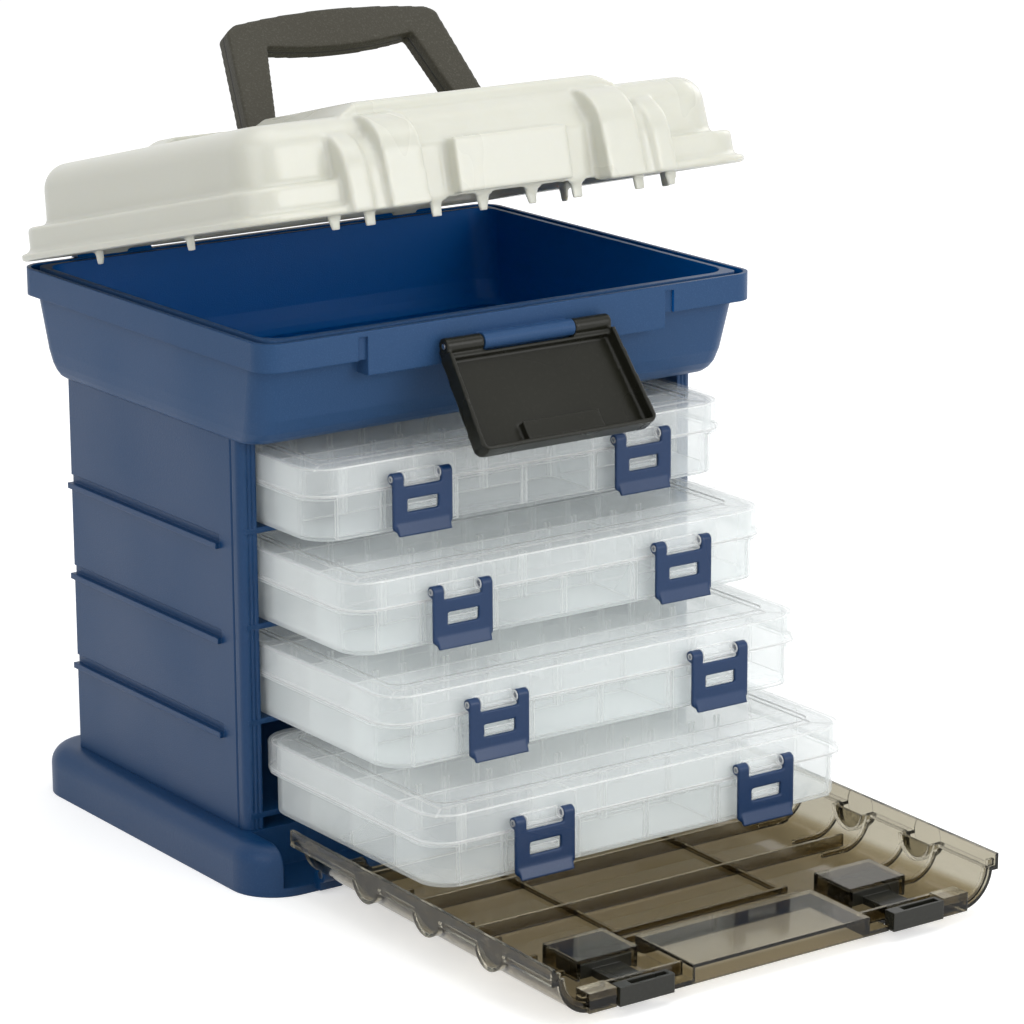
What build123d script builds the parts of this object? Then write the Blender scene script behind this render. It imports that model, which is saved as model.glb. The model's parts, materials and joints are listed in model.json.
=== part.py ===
from build123d import *
import os

os.makedirs("parts", exist_ok=True)

# Tackle box: a rack of four clear utility boxes under a top tub with a domed lid.
# X runs along the front, the front faces -Y, Z is up, and the ground is z = 0.
# The origin is under the rack, on the underside of the plinth. Sizes are in mm.

# Fits
pin_play = 0.06           # radial, between a pin and its bore
knuckle_gap = 0.4         # along a hinge, between one knuckle and the next
seat_gap = 0.3            # between loose pieces that lie on each other

# Utility boxes
box_width = 279.0         # over the lid's skirt
box_depth = 178.5         # with the hinge at the back
box_height = 41.5
box_pitch = 53.5          # from one box to the next below
box_wall = 1.8
box_corner = 18.0
box_step = 3.6            # the tray is this much narrower than the lid's skirt, each side
box_front_step = 2.0      # and this much behind the skirt's front
box_skirt = 16.5          # height of the lid's skirt
box_hinge_depth = 6.0     # part of the depth taken by the hinge
box_flange = 1.7          # thickness of the tray's flange under the skirt
box_row_walls = 3
box_row_wall = 1.4
box_row_top = 38.0        # height of the row walls
lowest_box = 37.8         # underside of the bottom box
pulled_out = (54.0, 91.0, 124.0, 165.0)   # how far each box stands out, top box first

# Box latches
latch_inset = 66.15       # from the box's side to the latch's middle
box_latch_width = 38.0
box_latch_thickness = 2.2
box_latch_arm = 7.0
box_latch_pin = 1.8       # radius of the lid's stub in the latch's arm
box_latch_eye = 3.2       # outer radius of the arm round the stub
box_latch_stand = 3.6     # from the skirt's face out to the pivot
box_latch_height = 30.5   # pivot above the box's underside
box_hinge_middle, box_hinge_pitch, box_barrel, box_clip = 63.0, 14.0, 7.0, 3.4
box_rod_radius = 1.6
window_low, window_high = 12.0, 19.0
window_half = 10.0
front_pad_in, front_pad_out = 27.2, 49.7   # flush pad on the tray's front, each side of the latch
front_pad_back = 0.3      # behind the skirt's front

# Rack column
column_wall = 3.0
post_width = 10.3
post_depth = 12.0
opening_gap = 1.7         # beside a box, between it and a post
home_setback = 1.7        # a box at home lies this far behind the posts
back_gap = 3.9            # behind a box at home
headroom = 7.2            # above the top box
ledge_reach = 23.5        # from a side wall under the box
ledge_thickness = 3.0
lap_drop = 11.7           # from a box's underside down to the lap in the side wall
lap_height, lap_proud = 3.2, 2.6
lap_groove = 1.1
column_front = -96.0

# Plinth
plinth_side, plinth_ahead, plinth_behind = 14.8, 35.6, 28.5   # beyond the column
plinth_height = 28.0
plinth_corner, plinth_round = 27.0, 11.0
plinth_wall, plinth_top = 4.0, 6.0
sill_height = 5.0         # floor of the recess that the door closes into
boss_radius = 16.0        # boss under the middle, which stands on the ground
collar_height, collar_wall = 5.0, 4.2

# Top tub
tub_height = 61.0         # from the column's top to the rim
rim_side, rim_ahead, rim_behind = 11.0, 45.1, 33.9            # beyond the column
rim_band = 15.5
rim_corner = 13.0
rim_lip = 2.5             # outer band of the rim
rim_groove, rim_groove_depth = 5.0, 8.0
tub_wall = 3.0
pad_half = 98.0           # half width of the flush pad behind the front latch
pad_drop = 24.0           # from the rim down to the pad's lower edge
slot_width = 6.0          # slot in the band beside the pad
tub_draft_side, tub_draft_front, tub_draft_back = 0.07, 0.26, 0.20
tub_round_side, tub_round_front, tub_round_back = 3.0, 10.7, 7.0
tub_round_height = 15.0
tub_inset_side, tub_inset_front, tub_inset_back = 4.0, 9.5, 6.0

# Lid
lid_gap = 0.4             # between the rim and the closed lid
lid_opened = 13.4         # degrees, as it stands in the photograph
lid_over = 5.5            # beyond the rim at the sides and in front
lid_over_back = 3.0
lid_corner = 26.0
lid_lip, lid_band, lid_dome = 4.5, 14.5, 33.0
lid_band_in, lid_dome_in = 4.5, 8.0
lid_wall = 2.6
crown_half, crown_ramp, crown_height = 78.0, 12.0, 6.5
crown_set_front, crown_set_back = 22.0, 27.5
dome_round = 15.0
hinge_behind, hinge_below_rim = 2.5, 2.0
hinge_rod_radius = 2.0
hinge_knuckle_radius = 4.2
hinge_knuckle = 16.0
lid_hinge_inset = 62.5    # from the rim's side to the middle of each lid hinge

# Shoulders on the lid's front, beside the latch
shoulder_gap = 1.0        # between the closed latch and the shoulder
ridge_width, groove_width, wing_width = 24.5, 10.0, 13.0
ridge_out, groove_out, wing_out = 6.4, 2.0, 4.4      # in front of the lid's lip
ridge_down, groove_down, wing_down = 1.0, 9.0, 8.0   # below the dome's top
tab_length, tab_width, tab_thickness = 7.4, 9.0, 2.4
front_tabs = (16.0, 46.0, 88.0, 110.0)
side_tabs = (-67.0, 34.0)

# Handle
handle_y = -10.3
handle_half = 81.7        # half width at the pivots
handle_leg = 18.5
handle_shoulder_half, handle_shoulder = 69.8, 66.2
handle_top_half, handle_top = 64.2, 69.6
handle_crown = 4.4
grip_half, grip_low, grip_belly = 48.6, 54.2, 4.0
handle_thickness = 13.0
handle_lean = 24.5        # degrees behind upright on the lid, as photographed
handle_pin_radius = 3.0
handle_pin_in_leg = 14.0
well_gap = 2.2            # between the handle's leg and the well's side
well_front, well_back = 15.0, 84.0        # from the handle's pivot
well_floor_drop = 8.5     # from the pivot down to the well's floor
pivot_drop = 10.5         # from the crown's top down to the handle's pivot

# Front latch
latch_half_root, latch_half_tip = 54.3, 57.5
latch_length = 64.0
latch_wall = 2.5
latch_back = 4.5          # reach of the side flanges behind the pivot
latch_face = 6.5          # from the pivot out to the latch's face
latch_tilt = 38.5         # degrees out from hanging straight down
latch_rod_radius = 1.5
latch_eye = 4.5
latch_eye_in, latch_eye_out = 30.0, 54.0
catch_half, catch_low = 25.0, 50.0        # the hook inside the latch
block_half, block_height = 37.0, 33.0     # the lid's block under the hook
latch_rod_ahead, latch_rod_below_rim = 5.4, 13.3

# Door
door_length = 235.0
door_inset = 5.5          # each side, inside the column's width
door_rise = 27.0          # from the hinge up to the rail's top
door_sag = 1.0            # degrees below level
door_pivot_y, door_pivot_z = -137.0, 11.0
door_floor = 2.5
door_under = 0.5          # the floor's underside below the pivot
cove_radius = 21.0
cove_wall = 2.2
door_lip = 2.2
door_knuckle, door_knuckle_radius = 14.0, 4.5
door_rod_radius = 2.0
door_hinge_inset = 36.0   # from the door's side to the middle of each hinge
door_near = 8.0           # from the pivot to the floor's near edge
bulge_places = (67.0, 123.5, 180.0)
bulge_half = 12.5
door_walls = (33.0, 81.0, 129.0)
strip_places = (166.0, 176.0)
panel_half, panel_near = 58.0, 186.0      # raised panel at the door's end
door_pad_half, pad_near, pad_far = 19.0, 174.0, 204.0
pad_height = 13.5
end_wall = 2.2
end_step = 9.0            # the end wall stands this much further in behind the latches
door_latch_inset, door_latch_width = 57.0, 34.0   # from the door's side to the latch's middle
door_latch_stem = 18.0
latch_stem_height = 4.0
latch_travel = 4.0

# Places worked out from the sizes above
latch_spacing = box_width - 2 * latch_inset
column_half = box_width / 2 + opening_gap + post_width
column_back = column_front + home_setback + box_depth + back_gap
wall_inside = column_half - column_wall
box_home = column_front + home_setback
box_floors = [lowest_box + box_pitch * step for step in (3, 2, 1, 0)]
column_top = box_floors[0] + box_height + headroom
plinth_half = column_half + plinth_side
plinth_front = column_front - plinth_ahead
plinth_back = column_back + plinth_behind
rim_top = column_top + tub_height
rim_bottom = rim_top - rim_band
rim_half = column_half + rim_side
hinge_middle = rim_half - lid_hinge_inset
rim_front = column_front - rim_ahead
rim_back = column_back + rim_behind
lid_bottom = rim_top + lid_gap
lid_half = rim_half + lid_over
lid_front = rim_front - lid_over
lid_back = rim_back + lid_over_back
band_top = lid_bottom + lid_lip + lid_band
dome_top = band_top + lid_dome
crown_top = dome_top + crown_height
lid_hinge_y = rim_back + hinge_behind
lid_hinge_z = rim_top - hinge_below_rim
lid_hinge = Axis((0, lid_hinge_y, lid_hinge_z), (1, 0, 0))
handle_z = crown_top - pivot_drop
handle_axis = Axis((0, handle_y, handle_z), (1, 0, 0))
latch_rod_y = rim_front - latch_rod_ahead
latch_rod_z = rim_top - latch_rod_below_rim
latch_axis = Axis((0, latch_rod_y, latch_rod_z), (1, 0, 0))
door_hinge = Axis((0, door_pivot_y, door_pivot_z), (1, 0, 0))
door_half = column_half - door_inset
door_hinge_middle = door_half - door_hinge_inset
door_latch_middle = door_half - door_latch_inset
pad_in, pad_out = door_latch_middle - door_pad_half, door_latch_middle + door_pad_half


def span_box(x, y, z, mode=Mode.ADD):
    """Box between two x, two y and two z values."""
    with Locations(((x[0] + x[1]) / 2, (y[0] + y[1]) / 2, (z[0] + z[1]) / 2)):
        Box(abs(x[1] - x[0]), abs(y[1] - y[0]), abs(z[1] - z[0]), mode=mode)


def both_sides(x, y, z, mode=Mode.ADD):
    """The same box on the right and, mirrored, on the left."""
    for side in (1, -1):
        span_box((side * x[0], side * x[1]), y, z, mode)


def cross_rod(x, y, z, radius, mode=Mode.ADD):
    """Cylinder along X between two x values."""
    with Locations(((x[0] + x[1]) / 2, y, z)):
        Cylinder(radius, abs(x[1] - x[0]), rotation=(0, 90, 0), mode=mode)


def plan(half_width, front, back, corner):
    """Rounded rectangle centred on x = 0, seen from above."""
    with Locations((0, (front + back) / 2)):
        RectangleRounded(2 * half_width, back - front, corner)


def save(piece, name):
    """Label a finished piece and write it."""
    piece.label = name
    export_step(piece, f"parts/{name}.step")


# Plinth: a hollow foot with a boss under it, and a recess in front for the door and its knuckles
with BuildPart() as base_plinth:
    with BuildSketch(Plane.XY):
        plan(plinth_half, plinth_front, plinth_back, plinth_corner)
    extrude(amount=plinth_height)
    fillet(base_plinth.edges().group_by(Axis.Z)[-1], plinth_round)
    sill_half = door_half + 3.5
    span_box((-sill_half, sill_half), (plinth_front - 1, column_front - 1),
             (sill_height, plinth_height + 1), Mode.SUBTRACT)
    hollow_front = column_front - 1 + plinth_wall
    hollow_top = plinth_height - plinth_top
    with BuildSketch(Plane.XY):
        plan(plinth_half - plinth_wall, hollow_front, plinth_back - plinth_wall,
             plinth_corner - plinth_wall)
    extrude(amount=hollow_top, mode=Mode.SUBTRACT)
    Cylinder(boss_radius, hollow_top + 0.5, align=(Align.CENTER, Align.CENTER, Align.MIN))
    collar_out = wall_inside - seat_gap
    collar_z = (plinth_height, plinth_height + collar_height)
    both_sides((collar_out - collar_wall, collar_out),
               (column_front + post_depth + 1, column_back - column_wall - seat_gap), collar_z)
    span_box((-collar_out, collar_out), (column_back - column_wall - seat_gap - 2.6,
             column_back - column_wall - seat_gap), collar_z)
    for side in (1, -1):
        for step in (-1, 1):
            x = side * door_hinge_middle + step * door_knuckle
            ends = (x - door_knuckle / 2, x + door_knuckle / 2)
            cross_rod(ends, door_pivot_y, door_pivot_z, door_knuckle_radius)
            span_box(ends, (door_pivot_y, plinth_front + 1),
                     (sill_height - 3, door_pivot_z + door_knuckle_radius - 4.5))
            cross_rod((ends[0] - 1, ends[1] + 1), door_pivot_y, door_pivot_z,
                      door_rod_radius + pin_play, Mode.SUBTRACT)
save(base_plinth.part, "base_plinth")

# Side walls of the rack, each with its front post, laps outside and box ledges inside
with BuildPart() as side_panel_left:
    height = (plinth_height, column_top)
    span_box((-column_half, -wall_inside), (column_front, column_back), height)
    span_box((-column_half, -column_half + post_width),
             (column_front, column_front + post_depth), height)
    corner_edge = side_panel_left.edges().filter_by(Axis.Z).sort_by(
        lambda edge: edge.center().X + edge.center().Y)[0]
    fillet(corner_edge, 4.5)
    for x in (5.4, 8.0):
        with Locations((-column_half + x, column_front - 0.3, sum(height) / 2)):
            Cylinder(0.9, column_top - plinth_height + 2, mode=Mode.SUBTRACT)
    with Locations((-column_half - 0.2, column_front + 8.5, sum(height) / 2)):
        Cylinder(1.0, column_top - plinth_height + 2, mode=Mode.SUBTRACT)
    lap_y = (column_front + 22, column_back)
    for floor in box_floors[:3]:
        lap = floor - lap_drop
        span_box((-column_half - lap_proud, -column_half + 0.5), lap_y, (lap - lap_height, lap))
        span_box((-column_half - 0.5, -column_half + lap_groove), lap_y, (lap, lap + 4.5),
                 Mode.SUBTRACT)
    for floor in box_floors:
        span_box((-wall_inside - 0.5, -wall_inside + ledge_reach),
                 (column_front, column_back - column_wall),
                 (floor - seat_gap - ledge_thickness, floor - seat_gap))
save(side_panel_left.part, "side_panel_left")

with BuildPart() as side_panel_right:
    mirror(side_panel_left.part, about=Plane.YZ)
save(side_panel_right.part, "side_panel_right")

# Back wall between the side walls
with BuildPart() as back_panel:
    span_box((-wall_inside, wall_inside), (column_back - column_wall, column_back), height)
    for floor in box_floors[:3]:
        lap = floor - lap_drop
        span_box((-wall_inside, wall_inside), (column_back - 0.5, column_back + lap_proud),
                 (lap - lap_height, lap))
save(back_panel.part, "back_panel")

# Top tub: flared walls, a banded rim with a groove, and a pad behind the front latch


def tub_insets(z):
    """How far the tub's walls stand inside its rim at a height: side, front, back."""
    below = rim_bottom - z
    turn = max(column_top + tub_round_height - z, 0) / tub_round_height
    rounding = 1 - (1 - turn ** 2) ** 0.5
    return (tub_inset_side + tub_draft_side * below + tub_round_side * rounding,
            tub_inset_front + tub_draft_front * below + tub_round_front * rounding,
            tub_inset_back + tub_draft_back * below + tub_round_back * rounding)


groove_in = rim_lip + rim_groove
inner_in = groove_in + tub_wall
tub_floor = column_top + tub_wall
tub_levels = [column_top + tub_round_height * part for part in (0, 0.08, 0.25, 0.5, 1)]
cavity_levels = [tub_floor + tub_round_height * part for part in (0, 0.08, 0.25, 0.5, 1)]
with BuildPart() as top_tub:
    for z in tub_levels + [rim_bottom + 1]:
        in_side, in_front, in_back = tub_insets(z)
        with BuildSketch(Plane.XY.offset(z)):
            plan(rim_half - in_side, rim_front + in_front, rim_back - in_back, rim_corner)
    loft(ruled=True)
    with BuildSketch(Plane.XY.offset(rim_bottom)):
        plan(rim_half, rim_front, rim_back, rim_corner)
    extrude(amount=rim_band)
    span_box((-pad_half, pad_half), (rim_front, rim_front + 18), (rim_top - pad_drop, rim_top))
    for z in cavity_levels + [rim_top]:
        in_side, in_front, in_back = tub_insets(min(z, rim_bottom))
        with BuildSketch(Plane.XY.offset(z)):
            plan(rim_half - max(in_side + tub_wall, inner_in),
                 rim_front + max(in_front + tub_wall, inner_in),
                 rim_back - max(in_back + tub_wall, inner_in), rim_corner)
    loft(ruled=True, mode=Mode.SUBTRACT)
    with BuildSketch(Plane.XY.offset(rim_top)):
        plan(rim_half - rim_lip, rim_front + rim_lip, rim_back - rim_lip, rim_corner - rim_lip)
        with Locations((0, (rim_front + rim_back) / 2)):
            RectangleRounded(2 * (rim_half - groove_in), rim_back - rim_front - 2 * groove_in,
                             rim_corner - groove_in, mode=Mode.SUBTRACT)
    extrude(amount=-rim_groove_depth, mode=Mode.SUBTRACT)
    both_sides((pad_half, pad_half + slot_width), (rim_front - 1, rim_front + rim_lip - 0.7),
               (rim_bottom - 1, rim_top - 3), Mode.SUBTRACT)
    # Collar that hangs inside the column
    hang = (column_top - collar_height, column_top + 1)
    both_sides((collar_out - collar_wall, collar_out),
               (column_front + post_depth + 1, column_back - column_wall - seat_gap), hang)
    span_box((-collar_out, collar_out), (column_back - column_wall - seat_gap - 2.6,
             column_back - column_wall - seat_gap), hang)
    # Middle barrel for the front latch's rod
    bar = latch_eye_in - knuckle_gap
    cross_rod((-bar, bar), latch_rod_y, latch_rod_z, latch_eye)
    span_box((-bar, bar), (latch_rod_y, rim_front + 1), (latch_rod_z - 3.5, latch_rod_z + 3.5))
    cross_rod((-bar - 1, bar + 1), latch_rod_y, latch_rod_z, latch_rod_radius + pin_play, Mode.SUBTRACT)
    # Knuckles for the lid's rod, and notches in the rim for the lid's own
    for side in (1, -1):
        ear = hinge_knuckle / 2 + knuckle_gap
        cross_rod((side * hinge_middle - ear, side * hinge_middle + ear), lid_hinge_y, lid_hinge_z,
                  hinge_knuckle_radius + knuckle_gap, Mode.SUBTRACT)
        for step in (-1, 1):
            x = side * hinge_middle + step * (hinge_knuckle + knuckle_gap)
            ends = (x - hinge_knuckle / 2, x + hinge_knuckle / 2)
            cross_rod(ends, lid_hinge_y, lid_hinge_z, hinge_knuckle_radius)
            span_box(ends, (rim_back - 1, lid_hinge_y), (lid_hinge_z - hinge_knuckle_radius, lid_hinge_z))
            cross_rod((ends[0] - 0.3, ends[1] + 0.3), lid_hinge_y, lid_hinge_z,
                      hinge_rod_radius + pin_play, Mode.SUBTRACT)
save(top_tub.part, "top_tub")

rod_half = hinge_middle + 1.5 * hinge_knuckle + 2
with BuildPart() as lid_hinge_rod:
    cross_rod((-rod_half, rod_half), lid_hinge_y, lid_hinge_z, hinge_rod_radius)
save(lid_hinge_rod.part, "lid_hinge_rod")

with BuildPart() as front_latch_rod:
    cross_rod((-latch_eye_out, latch_eye_out), latch_rod_y, latch_rod_z, latch_rod_radius)
save(front_latch_rod.part, "front_latch_rod")

# Lid, modelled closed: lip, band, dome and crown, with shoulders beside the latch
band_in = lid_band_in
dome_in = lid_band_in + lid_dome_in
dome_front = lid_front + dome_in
recess = latch_half_tip + shoulder_gap
recess_y = rim_front + 1.6
# Each shoulder step: from x, to x, front, top
shoulder_steps = []
step_x = recess
for width, out, down in ((ridge_width, ridge_out, ridge_down), (groove_width, groove_out, groove_down),
                         (wing_width, wing_out, wing_down)):
    shoulder_steps.append((step_x, step_x + width, lid_front - out, dome_top - down))
    step_x += width
shoulder_lean = 5.0
shoulder_bend = 24.0
with BuildPart() as lid_shell:
    with BuildSketch(Plane.XY.offset(lid_bottom)):
        plan(lid_half, lid_front, lid_back, lid_corner)
    extrude(amount=lid_lip)
    with BuildSketch(Plane.XY.offset(lid_bottom)):
        plan(lid_half - band_in, lid_front + band_in, lid_back - band_in, lid_corner - 3)
    extrude(amount=lid_lip + lid_band, taper=1.5)
    fillet(lid_shell.edges().group_by(Axis.Z)[-1], 2.5)
    with BuildSketch(Plane.XY.offset(band_top - 4)):
        plan(lid_half - dome_in, dome_front, lid_back - dome_in, lid_corner - 2)
    extrude(amount=lid_dome + 4, taper=4)
    fillet(lid_shell.edges().group_by(Axis.Z)[-1], dome_round)
    crown_front, crown_back = lid_front + crown_set_front, lid_back - crown_set_back
    with BuildSketch(Plane.XZ.offset(-crown_front)):
        Polygon((-crown_half - crown_ramp, dome_top - 2), (-crown_half - crown_ramp, dome_top),
                (-crown_half, crown_top), (crown_half, crown_top),
                (crown_half + crown_ramp, dome_top), (crown_half + crown_ramp, dome_top - 2), align=None)
    extrude(amount=-(crown_back - crown_front))
    fillet(lid_shell.edges().filter_by(Axis.X).group_by(Axis.Z)[-1], crown_height - 1)
    # Shoulders beside the latch
    for side in (1, -1):
        for near, far, front, top in shoulder_steps:
            with BuildSketch(Plane.YZ.offset(side * near)):
                Polygon((front, lid_bottom), (front + shoulder_lean, top), (front + 38, top),
                        (front + 30, lid_bottom), align=None)
                fillet(vertices(Select.LAST).sort_by(Axis.Y)[-2:].sort_by(Axis.X)[0], shoulder_bend)
            extrude(amount=side * (far - near))
    # Hollow underside: under the band, under the dome, and behind the shoulders
    under = lid_wall + band_in
    with BuildSketch(Plane.XY.offset(lid_bottom)):
        plan(lid_half - under, lid_front + under, lid_back - under, lid_corner - 5)
    extrude(amount=lid_lip + lid_band - lid_wall, taper=1.5, mode=Mode.SUBTRACT)
    under = lid_wall + dome_in
    with BuildSketch(Plane.XY.offset(band_top - lid_wall - 5)):
        plan(lid_half - under, lid_front + under, lid_back - under, lid_corner - 5)
    extrude(amount=lid_dome - dome_round + lid_wall + 5, taper=4, mode=Mode.SUBTRACT)
    side_top = dome_top - dome_round
    lean = (side_top - band_top + lid_wall + 5) * 0.07
    under += lean
    for level, more in ((0, 0), (0.45, 0.1), (0.75, 0.34), (0.93, 0.63), (1, 1)):
        z = side_top + (dome_round - lid_wall) * level
        with BuildSketch(Plane.XY.offset(z)):
            plan(lid_half - under - dome_round * more, lid_front + under + dome_round * more,
                 lid_back - under - dome_round * more, lid_corner - 7)
    loft(ruled=True, mode=Mode.SUBTRACT)
    for side in (1, -1):
        for step, (near, far, front, top) in enumerate(shoulder_steps):
            near += lid_wall * (1, -1, 1)[step]
            far -= lid_wall * (1, -1, 1)[step]
            with BuildSketch(Plane.YZ.offset(side * near)):
                Polygon((front + lid_wall, lid_bottom + lid_wall),
                        (front + shoulder_lean + lid_wall, top - lid_wall),
                        (front + 34, top - lid_wall), (front + 26, lid_bottom + lid_wall), align=None)
                fillet(vertices(Select.LAST).sort_by(Axis.Y)[-2:].sort_by(Axis.X)[0],
                       shoulder_bend - lid_wall)
            extrude(amount=side * (far - near), mode=Mode.SUBTRACT)
    # Recess for the latch, closed behind, with the catch block in the middle
    span_box((-recess, recess), (lid_front - 1, recess_y), (lid_bottom - 1, side_top + 8), Mode.SUBTRACT)
    with BuildSketch(Plane.YZ.offset(-recess - 1)):
        Polygon((recess_y, lid_bottom + 3), (recess_y, side_top - 6), (dome_front + 3.5, side_top + 6),
                (dome_front + 3.5, band_top - lid_wall), (recess_y + lid_wall, band_top - lid_wall),
                (recess_y + lid_wall, lid_bottom + 3), align=None)
    extrude(amount=2 * recess + 2)
    block_front = lid_front - 2
    block_z = (lid_bottom + 3, lid_bottom + block_height)
    span_box((-block_half, block_half), (block_front, recess_y + 1), block_z)
    span_box((-block_half + lid_wall, block_half - lid_wall), (block_front + lid_wall, recess_y),
             (block_z[0] - 1, block_z[1] - lid_wall), Mode.SUBTRACT)
    # Well for the folded handle
    well_half = handle_half + well_gap
    well_y = (handle_y - well_front, handle_y + well_back)
    well_floor = handle_z - well_floor_drop
    span_box((-well_half - lid_wall, well_half + lid_wall),
             (well_y[0] - lid_wall, well_y[1] + lid_wall), (well_floor - lid_wall, dome_top - 0.5))
    span_box((-well_half, well_half), well_y, (well_floor, crown_top + 1), Mode.SUBTRACT)
    for side in (1, -1):
        cross_rod((side * (well_half - 1), side * (well_half + lid_wall + 1)), handle_y, handle_z,
                  handle_pin_radius + pin_play, Mode.SUBTRACT)
    # Tabs that hang from the rim into the tub's groove
    groove_middle = rim_lip + rim_groove / 2
    tab_z = (lid_bottom - tab_length, lid_bottom + lid_lip)
    for x in [side * place for side in (1, -1) for place in front_tabs]:
        with BuildSketch(Plane.XZ.offset(-(rim_front + groove_middle - tab_thickness / 2))):
            Polygon((x - tab_width / 2, tab_z[1]), (x + tab_width / 2, tab_z[1]),
                    (x + tab_width / 2 - 1.5, tab_z[0]), (x - tab_width / 2 + 1.5, tab_z[0]), align=None)
        extrude(amount=-tab_thickness)
        root = recess_y if abs(x) < recess else recess_y - 2
        span_box((x - tab_width / 2, x + tab_width / 2), (root, rim_front + groove_middle + 1),
                 (lid_bottom + 1, tab_z[1]))
    for side in (1, -1):
        for y in side_tabs:
            with BuildSketch(Plane.YZ.offset(side * (rim_half - groove_middle - tab_thickness / 2))):
                Polygon((y - tab_width / 2, tab_z[1]), (y + tab_width / 2, tab_z[1]),
                        (y + tab_width / 2 - 1.5, tab_z[0]), (y - tab_width / 2 + 1.5, tab_z[0]),
                        align=None)
            extrude(amount=side * tab_thickness)
            span_box((side * (rim_half - groove_middle), side * (lid_half - 4)),
                     (y - tab_width / 2, y + tab_width / 2), (lid_bottom + 1, tab_z[1]))
    # Hinge ears behind, and notches over the tub's knuckles
    for side in (1, -1):
        for step in (-1, 1):
            x = side * hinge_middle + step * (hinge_knuckle + knuckle_gap)
            cross_rod((x - hinge_knuckle / 2 - knuckle_gap, x + hinge_knuckle / 2 + knuckle_gap),
                      lid_hinge_y, lid_hinge_z, hinge_knuckle_radius + knuckle_gap, Mode.SUBTRACT)
        ends = (side * hinge_middle - hinge_knuckle / 2, side * hinge_middle + hinge_knuckle / 2)
        cross_rod(ends, lid_hinge_y, lid_hinge_z, hinge_knuckle_radius)
        span_box(ends, (lid_back - 3, lid_hinge_y + hinge_knuckle_radius),
                 (lid_hinge_z + hinge_rod_radius + 0.5, lid_bottom + lid_lip))
        cross_rod((ends[0] - 1, ends[1] + 1), lid_hinge_y, lid_hinge_z,
                  hinge_rod_radius + pin_play, Mode.SUBTRACT)
save(lid_shell.part.rotate(lid_hinge, -lid_opened), "lid_shell")

# Bail handle, modelled upright on the closed lid
with BuildPart() as handle:
    foot = handle_thickness / 2
    foot_in = handle_half - handle_leg
    with BuildSketch(Plane.XZ.offset(-handle_y)):
        with BuildLine():
            Polyline((-handle_top_half, handle_z + handle_top),
                     (-handle_shoulder_half, handle_z + handle_shoulder),
                     (-handle_half, handle_z), (-handle_half, handle_z - foot), (-foot_in, handle_z - foot),
                     (-foot_in, handle_z), (-grip_half, handle_z + grip_low))
            ThreePointArc((-grip_half, handle_z + grip_low), (0, handle_z + grip_low - grip_belly),
                          (grip_half, handle_z + grip_low))
            Polyline((grip_half, handle_z + grip_low), (foot_in, handle_z), (foot_in, handle_z - foot),
                     (handle_half, handle_z - foot), (handle_half, handle_z),
                     (handle_shoulder_half, handle_z + handle_shoulder),
                     (handle_top_half, handle_z + handle_top))
            ThreePointArc((handle_top_half, handle_z + handle_top),
                          (0, handle_z + handle_top + handle_crown),
                          (-handle_top_half, handle_z + handle_top))
        make_face()
    extrude(amount=foot, both=True)
    fillet(handle.edges().filter_by(Axis.X).filter_by_position(
        Axis.Z, handle_z - foot - 0.1, handle_z - foot + 0.1), foot - 0.3)
    for side in (1, -1):
        cross_rod((side * (handle_half - handle_pin_in_leg - 1), side * (handle_half + 1)),
                  handle_y, handle_z, handle_pin_radius + pin_play, Mode.SUBTRACT)
save(handle.part.rotate(handle_axis, -handle_lean).rotate(lid_hinge, -lid_opened), "handle")

for side, side_name in ((-1, "left"), (1, "right")):
    with BuildPart() as handle_pin:
        cross_rod((side * (handle_half - handle_pin_in_leg), side * (well_half + lid_wall)),
                  handle_y, handle_z, handle_pin_radius)
    save(handle_pin.part.rotate(lid_hinge, -lid_opened), f"handle_pin_{side_name}")

# Front latch, modelled closed: a shallow tray that hangs from its rod when open
with BuildPart() as front_latch:
    face_y = latch_rod_y - latch_face
    with BuildSketch(Plane.XZ.offset(-face_y)):
        Polygon((-latch_half_root, latch_rod_z + 1), (latch_half_root, latch_rod_z + 1),
                (latch_half_tip, latch_rod_z + latch_length),
                (-latch_half_tip, latch_rod_z + latch_length), align=None)
    extrude(amount=-(latch_face + latch_back))
    fillet(front_latch.edges().filter_by(Axis.Y).group_by(Axis.Z)[-1], 5)
    with BuildSketch(Plane.XZ.offset(-(face_y + latch_wall))):
        Polygon((-latch_half_root + latch_wall, latch_rod_z - 6),
                (latch_half_root - latch_wall, latch_rod_z - 6),
                (latch_half_tip - latch_wall, latch_rod_z + latch_length - latch_wall),
                (-latch_half_tip + latch_wall, latch_rod_z + latch_length - latch_wall), align=None)
    extrude(amount=-20, mode=Mode.SUBTRACT)
    span_box((-latch_half_tip, latch_half_tip), (face_y - 1, latch_rod_y + 20),
             (latch_rod_z - 10, latch_rod_z + latch_eye + 0.8), Mode.SUBTRACT)
    # Catch that drops over the lid's block
    span_box((-catch_half, catch_half), (face_y + 1, latch_rod_y + 1),
             (latch_rod_z + catch_low, latch_rod_z + latch_length - 1))
    for side in (1, -1):
        ends = (side * latch_eye_in, side * latch_eye_out)
        cross_rod(ends, latch_rod_y, latch_rod_z, latch_eye)
        span_box(ends, (face_y, latch_rod_y - 1), (latch_rod_z, latch_rod_z + latch_eye + 2))
        cross_rod((side * (latch_eye_in - 1), side * (latch_eye_out + 1)), latch_rod_y, latch_rod_z,
                  latch_rod_radius + pin_play, Mode.SUBTRACT)
    # Rail across the tray's root
    span_box((-latch_half_root + 1, latch_half_root - 1), (face_y + 1, latch_rod_y),
             (latch_rod_z + latch_eye + 0.8, latch_rod_z + latch_eye + 3))
save(front_latch.part.rotate(latch_axis, 180 - latch_tilt), "front_latch")

# Door, modelled level, hinge at the door pivot, reaching towards -Y
y0, z0 = door_pivot_y, door_pivot_z


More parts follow.
